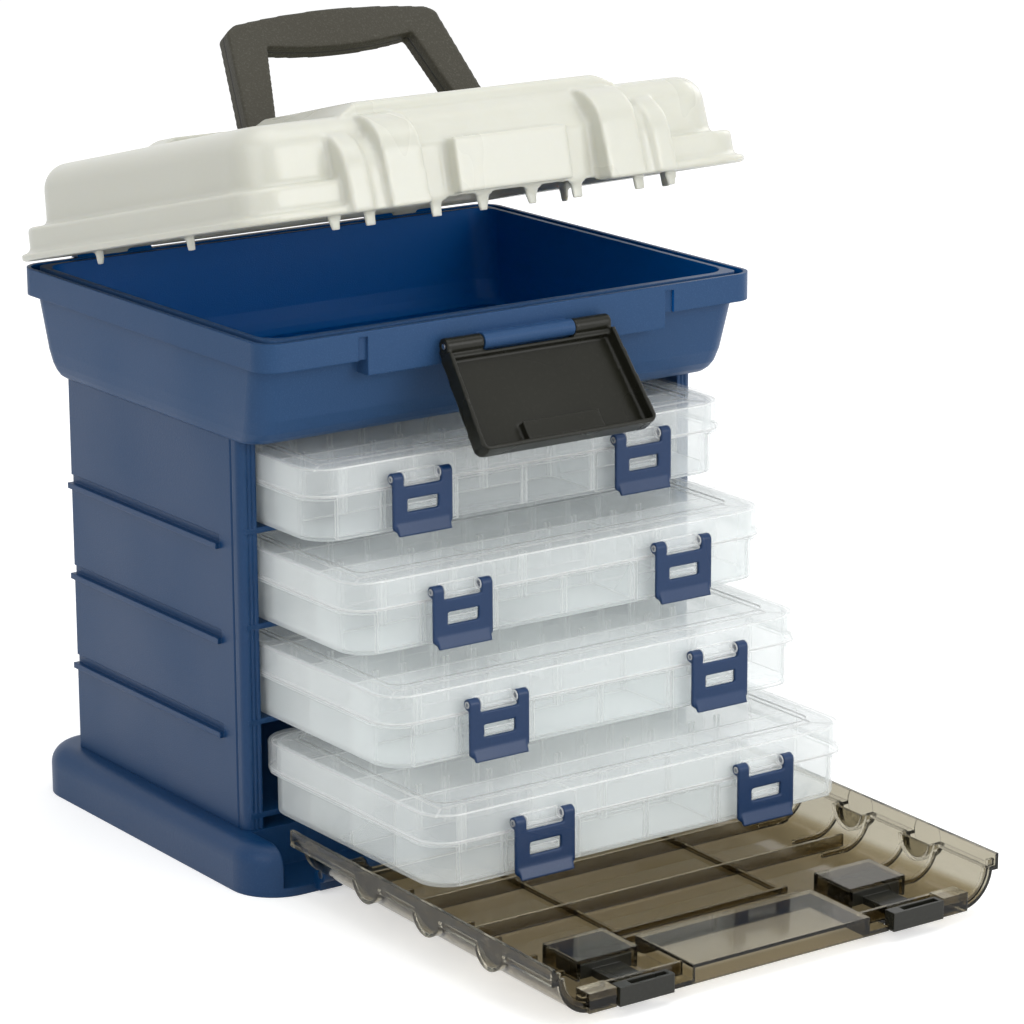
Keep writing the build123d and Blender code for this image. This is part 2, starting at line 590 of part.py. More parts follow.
def door_y(reach):
    """Y of a place on the level door, from its distance to the hinge."""
    return y0 - reach


cove_x = door_half - 4 - cove_radius
cove_z = z0 - door_under + cove_radius
floor_z0 = z0 - door_under


with BuildPart() as door_panel:
    span_box((-cove_x - 0.5, cove_x + 0.5), (door_y(door_length), door_y(door_near)),
             (floor_z0, floor_z0 + door_floor))
    rail_near = door_y(0.5)
    with BuildSketch(Plane.XZ.offset(-rail_near)):
        with BuildLine():
            under = CenterArc((cove_x, cove_z), cove_radius, -90, 90)
            Line(under @ 1, (cove_x + cove_radius - cove_wall, cove_z))
            over = CenterArc((cove_x, cove_z), cove_radius - cove_wall, -90, 90)
            Line(under @ 0, over @ 0)
        make_face()
        mirror(about=Plane.YZ)
    extrude(amount=door_length - 0.5)
    rail = (door_y(door_length), door_y(-6))
    lip_low, lip_high = z0 + 18, z0 + door_rise
    both_sides((cove_x + cove_radius - cove_wall, door_half), rail, (lip_low, lip_low + 2.4))
    both_sides((door_half - door_lip, door_half), rail, (lip_low, lip_high))
    # Ribs that follow the coved sides, in pairs at each bulge and at both ends
    rib_places = [place + step * bulge_half for place in bulge_places for step in (-1, 1)]
    for reach in rib_places + [door_length - 2.2, 8.0]:
        with BuildSketch(Plane.XZ.offset(-door_y(reach - 1.1))):
            with BuildLine():
                under = CenterArc((cove_x, cove_z), cove_radius - 1, -90, 90)
                Line(under @ 1, (cove_x + cove_radius - cove_wall - 2.6, cove_z))
                over = CenterArc((cove_x, cove_z), cove_radius - cove_wall - 2.6, -90, 90)
                Line(under @ 0, over @ 0)
            make_face()
            mirror(about=Plane.YZ)
        extrude(amount=2.2)
        rib = (door_y(reach - 1.1), door_y(reach + 1.1))
        both_sides((cove_x + cove_radius - cove_wall, door_half - 1), rib, (cove_z - 0.3, lip_high - 3))
        both_sides((cove_x - 14, cove_x + 1), rib, (floor_z0 + 1, floor_z0 + door_floor + 2.3))
    # Half-round bulges under the rails
    for place in bulge_places:
        for side in (1, -1):
            with Locations((side * (door_half - 6), door_y(place), z0 + 21)):
                Cylinder(bulge_half, 12, rotation=(0, 90, 0))
                Cylinder(bulge_half - 1.8, 8.4, rotation=(0, 90, 0), mode=Mode.SUBTRACT)
            span_box((side * (door_half - 13), side * (door_half - door_lip)),
                     (door_y(place - 14), door_y(place + 14)), (lip_low + 2.4, lip_high + 9), Mode.SUBTRACT)
            span_box((side * (door_half - door_lip - 1), side * (door_half + 1)),
                     (door_y(place - 14), door_y(place + 14)), (lip_high, lip_high + 12), Mode.SUBTRACT)
    # Cross walls, long ribs, the raised panel at the end and the two latch pads
    for reach in door_walls:
        span_box((-cove_x - 6, cove_x + 6), (door_y(reach - 1), door_y(reach + 1)),
                 (floor_z0 + 1, floor_z0 + 10))
    for reach in strip_places:
        span_box((-panel_half, panel_half), (door_y(reach - 1), door_y(reach + 1)),
                 (floor_z0 + 1, floor_z0 + 6))
    both_sides((53, 55), (door_y(door_near + 4), door_y(strip_places[0])), (floor_z0 + 1, floor_z0 + 5))
    panel_top = floor_z0 + 10.5
    span_box((-panel_half, panel_half), (door_y(door_length), door_y(panel_near)), (floor_z0, panel_top))
    span_box((-panel_half + door_floor, panel_half - door_floor),
             (door_y(door_length - door_floor), door_y(panel_near + door_floor)),
             (floor_z0 - 1, panel_top - door_floor), Mode.SUBTRACT)
    pad_top = floor_z0 + pad_height
    both_sides((pad_in, pad_out), (door_y(pad_far), door_y(pad_near)), (floor_z0 + 1, pad_top))
    both_sides((pad_in + 2, pad_out - 2), (door_y(pad_far + 1), door_y(pad_near + 2)),
               (floor_z0 + door_floor, pad_top - 2), Mode.SUBTRACT)
    # End wall: set in behind the latches, with a passage for each latch's stem
    inner_end = door_length - end_step
    both_sides((panel_half, cove_x + 2), (door_y(inner_end), door_y(inner_end - end_wall)),
               (floor_z0, floor_z0 + 9.5))
    stem_gap = door_latch_stem / 2 + 0.6
    stem_high = floor_z0 + door_floor + seat_gap + latch_stem_height + 0.6
    both_sides((door_latch_middle - stem_gap, door_latch_middle + stem_gap),
               (door_y(inner_end + 1), door_y(inner_end - end_wall - 1)),
               (floor_z0 + door_floor, stem_high), Mode.SUBTRACT)
    bay = door_latch_width / 2 + 1.0
    both_sides((door_latch_middle - bay, door_latch_middle + bay),
               (door_y(door_length + 1), door_y(inner_end)), (floor_z0 - 1, floor_z0 + 20), Mode.SUBTRACT)
    both_sides((door_latch_middle + bay, cove_x + 3), (door_y(door_length + 1.5), door_y(inner_end - 1)),
               (floor_z0, floor_z0 + 10.5))
    # Hinge knuckles and notches for the plinth's knuckles
    for side in (1, -1):
        ends = (side * door_hinge_middle - door_knuckle / 2 + knuckle_gap,
                side * door_hinge_middle + door_knuckle / 2 - knuckle_gap)
        notch = (side * door_hinge_middle - 1.5 * door_knuckle - 1,
                 side * door_hinge_middle + 1.5 * door_knuckle + 1)
        span_box(notch, (door_y(door_near + 1.5), y0 + 8), (z0 - 6, z0 + 8), Mode.SUBTRACT)
        cross_rod(ends, y0, z0, door_knuckle_radius)
        span_box(ends, (door_y(door_near + 3), y0), (floor_z0, floor_z0 + door_floor))
        cross_rod((ends[0] - 1, ends[1] + 1), y0, z0, door_rod_radius + pin_play, Mode.SUBTRACT)
save(door_panel.part.rotate(door_hinge, door_sag), "door_panel")

for side, side_name in ((-1, "left"), (1, "right")):
    middle = side * door_hinge_middle
    with BuildPart() as door_hinge_pin:
        cross_rod((middle - 1.5 * door_knuckle, middle + 1.5 * door_knuckle), y0, z0, door_rod_radius)
    save(door_hinge_pin.part, f"door_hinge_pin_{side_name}")

    # Sliding latch: a body under the pad, a stem through the end wall and a finger tab
    with BuildPart() as door_latch:
        low = floor_z0 + door_floor + seat_gap
        middle = side * door_latch_middle
        half = door_latch_width / 2
        span_box((side * (pad_in + 3), side * (pad_out - 3)), (door_y(pad_far - 1), door_y(pad_near + 9)),
                 (low, low + 7.5))
        span_box((middle - door_latch_stem / 2, middle + door_latch_stem / 2),
                 (door_y(door_length - 2), door_y(pad_far - 2)), (low, low + latch_stem_height))
        tab_back = door_length - end_step + latch_travel + 0.5
        span_box((middle - half, middle + half), (door_y(door_length + 3), door_y(tab_back)),
                 (floor_z0, low + 7.5))
        span_box((middle - half + 8, middle + half - 2.4),
                 (door_y(door_length + 4), door_y(tab_back + 1.6)), (low + 1, low + 8), Mode.SUBTRACT)
        span_box((middle - half + 8, middle + half - 2.4),
                 (door_y(door_length + 3), door_y(door_length + 1.4)), (floor_z0, low + 7.5))
    save(door_latch.part.rotate(door_hinge, door_sag), f"door_latch_{side_name}")

# Utility box in its own frame: x centred, front at y = 0, underside at z = 0
shell_back = box_depth - box_hinge_depth
tray_half = box_width / 2 - box_step
tray_back = shell_back - box_step
tray_front = box_front_step
skirt_low = box_height - box_skirt
tray_rim = skirt_low - seat_gap
lid_top_wall = 1.6
hinge_y = box_depth - box_rod_radius - 2
hinge_z = skirt_low + 1.5
pivot_y = -box_latch_stand
box_latch_face = pivot_y - box_latch_eye

with BuildPart() as box_tray:
    with BuildSketch(Plane.XY):
        plan(tray_half, tray_front, tray_back, box_corner)
    extrude(amount=box_height - lid_top_wall - seat_gap)
    fillet(box_tray.edges().group_by(Axis.Z)[0], 1.5)
    with BuildSketch(Plane.XY.offset(tray_rim - box_flange)):
        plan(box_width / 2 - 0.6, 0.6, shell_back - 0.6, box_corner)
    extrude(amount=box_flange)
    with BuildSketch(Plane.XY.offset(box_wall)):
        plan(tray_half - box_wall, tray_front + box_wall, tray_back - box_wall, box_corner - box_wall)
    extrude(amount=box_height, mode=Mode.SUBTRACT)
    row_pitch = (tray_back - tray_front) / (box_row_walls + 1)
    row_edges = [tray_front + row_pitch * (step + 1) for step in range(box_row_walls)]
    for y in row_edges:
        span_box((-tray_half + 1, tray_half - 1), (y - box_row_wall / 2, y + box_row_wall / 2),
                 (box_wall - 0.5, box_row_top))
    for side in (1, -1):
        nub = side * latch_spacing / 2
        span_box((nub - side * front_pad_in, nub + side * front_pad_out),
                 (front_pad_back, tray_front + box_wall - 0.3), (1.5, tray_rim))
        span_box((nub - window_half + 1, nub + window_half - 1),
                 (box_latch_face + 1.2, tray_front + 0.5), (window_low + 1.2, window_high - 2.5))
        for step in (-1, 1):
            x = side * box_hinge_middle + step * box_hinge_pitch / 2
            ends = (x - box_barrel / 2, x + box_barrel / 2)
            cross_rod(ends, hinge_y, hinge_z, box_rod_radius + 2)
            span_box(ends, (shell_back - 3, hinge_y), (tray_rim - box_flange - 1, tray_rim))
            cross_rod((x - box_barrel / 2 - 0.4, x + box_barrel / 2 + 0.4), hinge_y, hinge_z,
                      box_rod_radius + pin_play, Mode.SUBTRACT)
            span_box((x - box_barrel / 2 - 0.4, x + box_barrel / 2 + 0.4),
                     (shell_back - 1.5, hinge_y + 0.1), (tray_rim, hinge_z + 5), Mode.SUBTRACT)

with BuildPart() as box_cover:
    with BuildSketch(Plane.XY.offset(skirt_low)):
        plan(box_width / 2, 0, shell_back, box_corner)
    extrude(amount=box_skirt)
    fillet(box_cover.edges().group_by(Axis.Z)[-1], 2.2)
    with BuildSketch(Plane.XY.offset(skirt_low)):
        plan(box_width / 2 - box_wall, box_wall, shell_back - box_wall, box_corner - box_wall)
    extrude(amount=box_skirt - lid_top_wall, mode=Mode.SUBTRACT)
    with BuildSketch(Plane.XY.offset(box_height)):
        plan(box_width / 2 - 16, 17, shell_back - 14, 8)
    extrude(amount=-0.6, mode=Mode.SUBTRACT)
    for side in (1, -1):
        middle = side * latch_spacing / 2
        inner = box_latch_width / 2 - box_latch_arm - 0.4
        outer = box_latch_width / 2
        cross_rod((middle - outer, middle + outer), pivot_y, box_latch_height, box_latch_pin)
        cross_rod((middle - inner, middle + inner), pivot_y, box_latch_height, box_latch_eye - 0.2)
        span_box((middle - inner, middle + inner), (pivot_y, 0.5),
                 (box_latch_height - 2.4, box_latch_height + 2.4))
        cross_rod((side * (box_hinge_middle - box_hinge_pitch),
                   side * (box_hinge_middle + box_hinge_pitch)), hinge_y, hinge_z, box_rod_radius)
        for step in (-1, 0, 1):
            x = side * (box_hinge_middle + step * (box_hinge_pitch - box_clip / 2 + 0.2))
            span_box((x - box_clip / 2, x + box_clip / 2), (shell_back - 1, hinge_y + 1.2),
                     (hinge_z - 1.2, hinge_z + 4))

with BuildPart() as box_latch:
    half = box_latch_width / 2
    plate_y = (box_latch_face, box_latch_face + box_latch_thickness)
    notch = box_latch_height - box_latch_eye - 1.3
    span_box((-half, half), plate_y, (1.5, notch))
    fillet(box_latch.edges().filter_by(Axis.Y).group_by(Axis.Z)[0], 3)
    with BuildSketch(Plane.YZ.offset(-half + 2)):
        Polygon((plate_y[0], 6.5), (plate_y[0] - 2.6, -0.5), (plate_y[0] - 0.9, -0.5),
                (plate_y[1], 3.5), align=None)
    extrude(amount=box_latch_width - 4)
    for side in (1, -1):
        arm = (side * (half - box_latch_arm), side * half)
        span_box(arm, plate_y, (notch - 1, box_latch_height))
        cross_rod(arm, pivot_y, box_latch_height, box_latch_eye)
        cross_rod((side * (half - box_latch_arm - 1), side * (half + 1)), pivot_y, box_latch_height,
                  box_latch_pin + pin_play, Mode.SUBTRACT)
    span_box((-window_half, window_half), (plate_y[0] - 1, plate_y[1] + 1), (window_low, window_high),
             Mode.SUBTRACT)

# Loose dividers: two in the front row and one in the third row
row_starts = [tray_front + box_wall] + [y + box_row_wall / 2 for y in row_edges]
row_ends = [y - box_row_wall / 2 for y in row_edges] + [tray_back - box_wall]
with BuildPart() as box_dividers:
    for row, places in ((0, (-46.0, 46.0)), (2, (20.0,))):
        for x in places:
            span_box((x - 0.7, x + 0.7), (row_starts[row] + seat_gap, row_ends[row] - seat_gap),
                     (box_wall + seat_gap, box_row_top - 1))

for number, (floor, pull) in enumerate(zip(box_floors, pulled_out), 1):
    place = Location((0, box_home - pull, floor))
    save(box_tray.part.moved(place), f"box_{number}_tray")
    save(box_cover.part.moved(place), f"box_{number}_lid")
    save(box_dividers.part.moved(place), f"box_{number}_dividers")
    for side, side_name in ((-1, "left"), (1, "right")):
        latch_place = Location((side * latch_spacing / 2, box_home - pull, floor))
        save(box_latch.part.moved(latch_place), f"box_{number}_latch_{side_name}")
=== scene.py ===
# %% [markdown]
# # A tackle box with four clear utility boxes
#
# The real object is a rack of moulded plastic parts: a navy case, a pearl lid, a dark handle and
# latch, a smoky see-through door, and four frosted boxes that slide out in front.
# The shapes come from the CAD frame. This script gives them their camera, light and finishes, and
# adds the small moulded details that repeat.

# %% Load the frame
import json
import math

import bmesh
import bpy
from mathutils import Matrix, Vector


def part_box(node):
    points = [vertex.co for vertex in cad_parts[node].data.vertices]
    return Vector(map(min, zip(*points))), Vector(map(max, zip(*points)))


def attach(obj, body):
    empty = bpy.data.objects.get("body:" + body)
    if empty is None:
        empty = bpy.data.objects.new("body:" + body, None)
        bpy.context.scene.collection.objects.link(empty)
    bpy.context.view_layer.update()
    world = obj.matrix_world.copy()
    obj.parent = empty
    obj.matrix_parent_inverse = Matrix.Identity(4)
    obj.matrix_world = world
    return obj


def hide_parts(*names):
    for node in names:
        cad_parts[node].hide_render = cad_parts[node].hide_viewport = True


BOXES = (1, 2, 3, 4)

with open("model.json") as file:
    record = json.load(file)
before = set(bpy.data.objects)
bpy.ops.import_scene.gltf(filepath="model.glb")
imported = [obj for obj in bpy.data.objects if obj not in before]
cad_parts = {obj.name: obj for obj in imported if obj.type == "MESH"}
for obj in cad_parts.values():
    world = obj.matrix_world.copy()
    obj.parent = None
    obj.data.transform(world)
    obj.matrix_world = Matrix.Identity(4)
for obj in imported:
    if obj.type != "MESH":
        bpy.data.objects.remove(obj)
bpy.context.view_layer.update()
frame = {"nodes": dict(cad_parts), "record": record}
nodes = frame["nodes"]
scene = bpy.context.scene

# %% [markdown]
# ## The camera
#
# A product photograph is taken from far away with a long lens, so that upright edges stay nearly
# parallel. The direction here was worked out from the object's own straight edges: 35 degrees
# round to the left, 15 degrees above.

# %% Camera
CAMERA_PLACE = Vector((-1.2379, -1.8937, 0.7678))
CAMERA_TURN, CAMERA_PITCH, CAMERA_ROLL = -35.10, -15.22, -0.27
CAMERA_LENS, SENSOR = 143.16, 36.0
CAMERA_SHIFT = 0.0178

camera_data = bpy.data.cameras.new("camera")
camera_data.lens, camera_data.sensor_width = CAMERA_LENS, SENSOR
camera_data.shift_y = CAMERA_SHIFT
camera = bpy.data.objects.new("camera", camera_data)
scene.collection.objects.link(camera)
camera.matrix_world = (
    Matrix.Translation(CAMERA_PLACE)
    @ Matrix.Rotation(math.radians(CAMERA_TURN), 4, "Z")
    @ Matrix.Rotation(math.radians(90 + CAMERA_PITCH), 4, "X")
    @ Matrix.Rotation(math.radians(CAMERA_ROLL), 4, "Z")
)
scene.camera = camera
print("camera looks along", [round(c, 3) for c in camera.matrix_world.to_3x3() @ Vector((0, 0, -1))])

# %% [markdown]
# ## Light, floor and background
#
# Glossy and see-through plastic is only as good as what it reflects. A photograph of a studio could
# be wrapped round the scene as its world. A few large area lamps are used here instead, because
# they give the same broad, soft reflections and can be tuned one by one. The background shows white
# to the camera and to reflections without adding light of its own.

# %% Node helpers
def add_node(tree, kind, place=(0, 0), **settings):
    """One node in a tree, with its settings."""
    node = tree.nodes.new(kind)
    node.location = place
    for name, value in settings.items():
        setattr(node, name, value)
    return node


def wire(tree, *pairs):
    """Links each pair of an output and an input."""
    for source, target in pairs:
        tree.links.new(source, target)


def math_node(tree, operation, first, second=0.0, place=(0, 0)):
    """One Math node. Each operand is a number or a socket."""
    node = add_node(tree, "ShaderNodeMath", place, operation=operation)
    for socket, value in zip(node.inputs, (first, second)):
        if isinstance(value, (int, float)):
            socket.default_value = value
        else:
            tree.links.new(value, socket)
    return node.outputs[0]


def new_material(name):
    """An empty node material with its output."""
    material = bpy.data.materials.new(name)
    material.use_nodes = True
    material.node_tree.nodes.clear()
    output = add_node(material.node_tree, "ShaderNodeOutputMaterial", (900, 0))
    return material, material.node_tree, output


def background_rays(tree, place):
    """1 for the rays that show the background: straight from the camera, reflected or bent."""
    rays = add_node(tree, "ShaderNodeLightPath", (place[0] - 400, place[1]))
    seen = math_node(tree, "MAXIMUM", rays.outputs["Is Camera Ray"], rays.outputs["Is Glossy Ray"],
                     (place[0] - 200, place[1]))
    return math_node(tree, "MAXIMUM", seen, rays.outputs["Is Transmission Ray"], place)


# %% World
WHITE = (1, 1, 1, 1)
DAYLIGHT = (0.97, 0.98, 1, 1)
AMBIENT = 0.62
# A ray can cross four boxes, each with many thin walls, before it reaches the floor
THIN_WALL_BOUNCES, BOUNCES = 48, 14

scene.view_settings.view_transform = "Standard"
scene.cycles.transparent_max_bounces = THIN_WALL_BOUNCES
scene.cycles.max_bounces = BOUNCES

world = bpy.data.worlds.new("studio")
scene.world = world
world.use_nodes = True
tree = world.node_tree
tree.nodes.clear()
world_out = add_node(tree, "ShaderNodeOutputWorld", (600, 0))
shown = add_node(tree, "ShaderNodeBackground", (200, 120))
shown.inputs["Color"].default_value = WHITE
lit = add_node(tree, "ShaderNodeBackground", (200, -60))
lit.inputs["Color"].default_value = DAYLIGHT
lit.inputs["Strength"].default_value = AMBIENT
world_mix = add_node(tree, "ShaderNodeMixShader", (400, 0))
wire(tree, (background_rays(tree, (0, 300)), world_mix.inputs[0]), (lit.outputs[0], world_mix.inputs[1]),
     (shown.outputs[0], world_mix.inputs[2]), (world_mix.outputs[0], world_out.inputs[0]))
print("world", world.name, "lights at", AMBIENT)

# %% Floor
FLOOR_HALF = 30.0
FLOOR_PALE = (0.80, 0.80, 0.79, 1)
FLOOR_GLOW = 0.50

floor_mesh = bpy.data.meshes.new("floor")
floor_corners = [(x * FLOOR_HALF, y * FLOOR_HALF, 0) for x, y in ((-1, -1), (1, -1), (1, 1), (-1, 1))]
floor_mesh.from_pydata(floor_corners, [], [(0, 1, 2, 3)])
floor = bpy.data.objects.new("floor", floor_mesh)
scene.collection.objects.link(floor)
floor_material, tree, output = new_material("pale_floor")
matte = add_node(tree, "ShaderNodeBsdfDiffuse", (0, 100))
matte.inputs["Color"].default_value = FLOOR_PALE
glow = add_node(tree, "ShaderNodeEmission", (0, -60))
glow.inputs["Color"].default_value = WHITE
level = math_node(tree, "MULTIPLY", background_rays(tree, (-300, -160)), FLOOR_GLOW, (-150, -160))
both = add_node(tree, "ShaderNodeAddShader", (300, 0))
wire(tree, (level, glow.inputs["Strength"]), (matte.outputs[0], both.inputs[0]),
     (glow.outputs[0], both.inputs[1]), (both.outputs[0], output.inputs[0]))
floor_mesh.materials.append(floor_material)
print("floor", FLOOR_HALF * 2, "m square")

# %% Lamps
TARGET = Vector((0, -0.06, 0.2))
# name, place, width, height, watts
LAMPS = (
    ("overhead", (0.1, -0.3, 2.2), 1.8, 1.8, 15.0),
    ("key_left", (-2.2, -1.2, 1.5), 1.6, 1.4, 10.2),
    ("front_fill", (0.9, -2.6, 1.1), 1.8, 1.4, 28.5),
    ("right_rim", (2.2, 0.4, 1.3), 1.2, 1.4, 8.0),
)
for name, place, width, height, watts in LAMPS:
    lamp_data = bpy.data.lights.new(name, "AREA")
    lamp_data.shape = "RECTANGLE"
    lamp_data.size, lamp_data.size_y = width, height
    lamp_data.energy = watts
    lamp = bpy.data.objects.new(name, lamp_data)
    lamp.location = place
    lamp.rotation_euler = (TARGET - Vector(place)).to_track_quat("-Z", "Y").to_euler()
    scene.collection.objects.link(lamp)
print("lamps", [lamp[0] for lamp in LAMPS])

# %% [markdown]
# ## Effects that several finishes share
#
# Moulded plastic has a fine spark-eroded grain, slightly rounded edges, and slow streaks of colour
# from how it flowed into the mould. These could be painted into each material one by one. Each
# effect is a node group here instead, built once, so every finish can use it at its own strength.

# %% A new shader group
FLOAT, VECTOR = "NodeSocketFloat", "NodeSocketVector"


def new_group(name, inputs, outputs):
    """Empty shader node group with named sockets. Each input is (name, kind, value)."""
    group = bpy.data.node_groups.new(name, "ShaderNodeTree")
    for socket, kind, value in inputs:
        made = group.interface.new_socket(socket, in_out="INPUT", socket_type=kind)
        if value is not None:
            made.default_value = value
    for socket, kind in outputs:
        group.interface.new_socket(socket, in_out="OUTPUT", socket_type=kind)
    return group, add_node(group, "NodeGroupInput", (-900, 0)), add_node(group, "NodeGroupOutput", (700, 0))


def ramp(tree, value, start, end, low=0.0, high=1.0, place=(0, 0), shape="LINEAR"):
    """Turns a value into low at start and high at end, and keeps it between the two."""
    node = add_node(tree, "ShaderNodeMapRange", place, interpolation_type=shape)
    for name, number in (("From Min", start), ("From Max", end), ("To Min", low), ("To Max", high)):
        node.inputs[name].default_value = number
    tree.links.new(value, node.inputs["Value"])
    return node.outputs[0]


# %% Group: moulded grain
# The noise value at which a fleck starts to show, and at which it is full
FLECK_STARTS, FLECK_FULL = 0.54, 0.74

grain_group, enter, leave = new_group(
    "moulded_grain",
    [("Vector", VECTOR, None), ("Grains per metre", FLOAT, 1500.0)],
    [("Height", FLOAT), ("Fleck", FLOAT)],
)
clouds = add_node(grain_group, "ShaderNodeTexNoise", (-500, 0))
clouds.inputs["Detail"].default_value = 1
fleck = ramp(grain_group, clouds.outputs["Fac"], FLECK_STARTS, FLECK_FULL, place=(-200, -150))
wire(grain_group, (enter.outputs["Vector"], clouds.inputs["Vector"]),
     (enter.outputs["Grains per metre"], clouds.inputs["Scale"]),
     (clouds.outputs["Fac"], leave.inputs["Height"]), (fleck, leave.inputs["Fleck"]))
print(grain_group.name, len(grain_group.nodes), "nodes")

# %% Group: soft edges
# How alike the rounded and the plain normal are where an edge starts to show, and where it is full
EDGE_STARTS, EDGE_FULL = 0.99, 0.86

edge_group, enter, leave = new_group(
    "soft_edges", [("Reach", FLOAT, 0.001)], [("Normal", VECTOR), ("Edge", FLOAT)])
round_off = add_node(edge_group, "ShaderNodeBevel", (-500, 0), samples=4)
plain = add_node(edge_group, "ShaderNodeNewGeometry", (-500, -300))
likeness = add_node(edge_group, "ShaderNodeVectorMath", (-200, -150), operation="DOT_PRODUCT")
edge = ramp(edge_group, likeness.outputs["Value"], EDGE_STARTS, EDGE_FULL, place=(100, -150))
wire(edge_group, (enter.outputs["Reach"], round_off.inputs["Radius"]),
     (round_off.outputs["Normal"], likeness.inputs[0]), (plain.outputs["Normal"], likeness.inputs[1]),
     (round_off.outputs["Normal"], leave.inputs["Normal"]), (edge, leave.inputs["Edge"]))
print(edge_group.name, len(edge_group.nodes), "nodes")

# %% Group: flow marks
FLOW_STARTS, FLOW_FULL = 0.28, 0.74

flow_group, enter, leave = new_group(
    "flow_marks",
    [("Vector", VECTOR, None), ("Streaks per metre", FLOAT, 9.0), ("Drag", FLOAT, 0.0)],
    [("Flow", FLOAT)],
)
currents = add_node(flow_group, "ShaderNodeTexNoise", (-300, 0))
currents.inputs["Detail"].default_value = 2
currents.inputs["Roughness"].default_value = 0.45
flow = ramp(flow_group, currents.outputs["Fac"], FLOW_STARTS, FLOW_FULL, place=(200, 0), shape="SMOOTHSTEP")
wire(flow_group, (enter.outputs["Vector"], currents.inputs["Vector"]),
     (enter.outputs["Streaks per metre"], currents.inputs["Scale"]),
     (enter.outputs["Drag"], currents.inputs["Distortion"]), (flow, leave.inputs["Flow"]))
print(flow_group.name, len(flow_group.nodes), "nodes")

# %% [markdown]
# ## Opaque plastics
#
# The case, lid, handle and latches are all injection moulded, and differ only in colour, gloss and
# grain. One function makes them all: the colour is mixed from a body tone, a tone for the streaks,
# one for the fine flecks, and a lighter one on the edges, a painted highlight where light gathers.
# A node material could also be baked to an image, but a procedural one stays sharp at any distance.

# %% Small helpers for materials
def object_place(tree):
    """The point on the piece, in metres from the frame's origin."""
    return add_node(tree, "ShaderNodeTexCoord", (-1300, 0)).outputs["Object"]


def group_node(tree, group, place, vector=None, **values):
    """A group placed in a material, with its inputs set by name with _ for a blank."""
    node = add_node(tree, "ShaderNodeGroup", place, node_tree=group)
    if vector is not None:
        tree.links.new(vector, node.inputs["Vector"])
    for name, value in values.items():
        node.inputs[name.replace("_", " ")].default_value = value
    return node


def mix_colours(tree, place, factor, first, second, amount=1.0):
    """Mixes a second colour over the first by a mask, at most by amount."""
    scaled = math_node(tree, "MULTIPLY", factor, amount, (place[0] - 180, place[1] - 120))
    mix = add_node(tree, "ShaderNodeMix", place, data_type="RGBA")
    tree.links.new(scaled, mix.inputs["Factor"])
    for value, socket in ((first, mix.inputs[6]), (second, mix.inputs[7])):
        if isinstance(value, tuple):
            socket.default_value = (*value, 1)
        else:
            tree.links.new(value, socket)
    return mix.outputs[2]


def principled(tree, output, **sockets):
    """The shader of a material. Each socket, named with _ for a blank, gets a value or an output."""
    shader = add_node(tree, "ShaderNodeBsdfPrincipled", (500, 0))
    for name, value in sockets.items():
        socket = shader.inputs[name.replace("_", " ")]
        if isinstance(value, bpy.types.NodeSocket):
            tree.links.new(value, socket)
        else:
            socket.default_value = value
    tree.links.new(shader.outputs[0], output.inputs[0])


# %% Opaque plastic
# The painted shade in a parting groove as a share of the body's tone, how much of it shows, and the groove's depth in
# grains
GROOVE_PAINTED_SHADE, GROOVE_SHARE, GROOVE_DEPTH = 0.25, 0.85, 3.0


def plastic(name, body, flecks, edges, streak, roughness=0.42, rough_spread=0.08, grains=1500.0,
            depth=0.00012, reach=0.0012, fleck_share=0.5, edge_share=0.5, streak_share=0.35,
            streaks=9.0, stretch=(1.0, 1.0, 1.0), inside=None, groove=None, **sheen):
    """Opaque moulded plastic. inside is a mask and its colour, groove is a mask, sheen sets sockets."""
    material, tree, output = new_material(name)
    place = object_place(tree)
    drawn = add_node(tree, "ShaderNodeMapping", (-1150, -300))
    drawn.inputs["Scale"].default_value = stretch
    tree.links.new(place, drawn.inputs["Vector"])
    grain = group_node(tree, grain_group, (-1000, 200), place, Grains_per_metre=grains)
    soft = group_node(tree, edge_group, (-1000, -100), Reach=reach)
    flow = group_node(tree, flow_group, (-1000, -300), drawn.outputs[0], Streaks_per_metre=streaks)
    colour = mix_colours(tree, (-400, 200), flow.outputs["Flow"], body, streak, streak_share)
    colour = mix_colours(tree, (-200, 200), grain.outputs["Fleck"], colour, flecks, fleck_share)
    # Painted highlight: the lighter edge tone where light catches the rounded corners
    colour = mix_colours(tree, (0, 200), soft.outputs["Edge"], colour, edges, edge_share)
    height = grain.outputs["Height"]
    if inside is not None:
        mask, tone = inside
        colour = mix_colours(tree, (200, 200), mask(tree, place), colour, tone)
    if groove is not None:
        line = groove(tree, place)
        # Painted shade: the groove is darkened as well as cut, for the shade that falls in it
        dark = tuple(part * GROOVE_PAINTED_SHADE for part in body)
        colour = mix_colours(tree, (200, 200), line, colour, dark, GROOVE_SHARE)
        cut = math_node(tree, "MULTIPLY", line, GROOVE_DEPTH, (-300, -600))
        height = math_node(tree, "SUBTRACT", height, cut, (-150, -500))
    gloss = ramp(tree, flow.outputs["Flow"], 0.0, 1.0, roughness - rough_spread, roughness + rough_spread,
                 (-200, -50))
    bump = add_node(tree, "ShaderNodeBump", (0, -250))
    bump.inputs["Distance"].default_value = depth
    wire(tree, (height, bump.inputs["Height"]), (soft.outputs["Normal"], bump.inputs["Normal"]))
    principled(tree, output, Base_Color=colour, Roughness=gloss, Normal=bump.outputs[0], **sheen)
    return material


# %% [markdown]
# ## Three finishes that change from place to place
#
# The tub is the same navy as the case. Its inner walls light each other and show little sheen, so a
# brighter, deeper blue is painted on them as painted bounce light. The handle is moulded in two mould
# halves, which leave a parting groove round its edge, painted darker as painted shade. The folded
# door's floor lies in the shade of the boxes, so it is painted browner than its rails as painted
# shadow. A second material would need faces picked by hand. A mask worked out from where a point
# lies, and which way it faces, needs none.

# %% A mask for the painted bounce light inside the tub
TUB_MIDDLE = (0.0, -0.008, 0.2935)
TUB_FLOOR = 0.2496


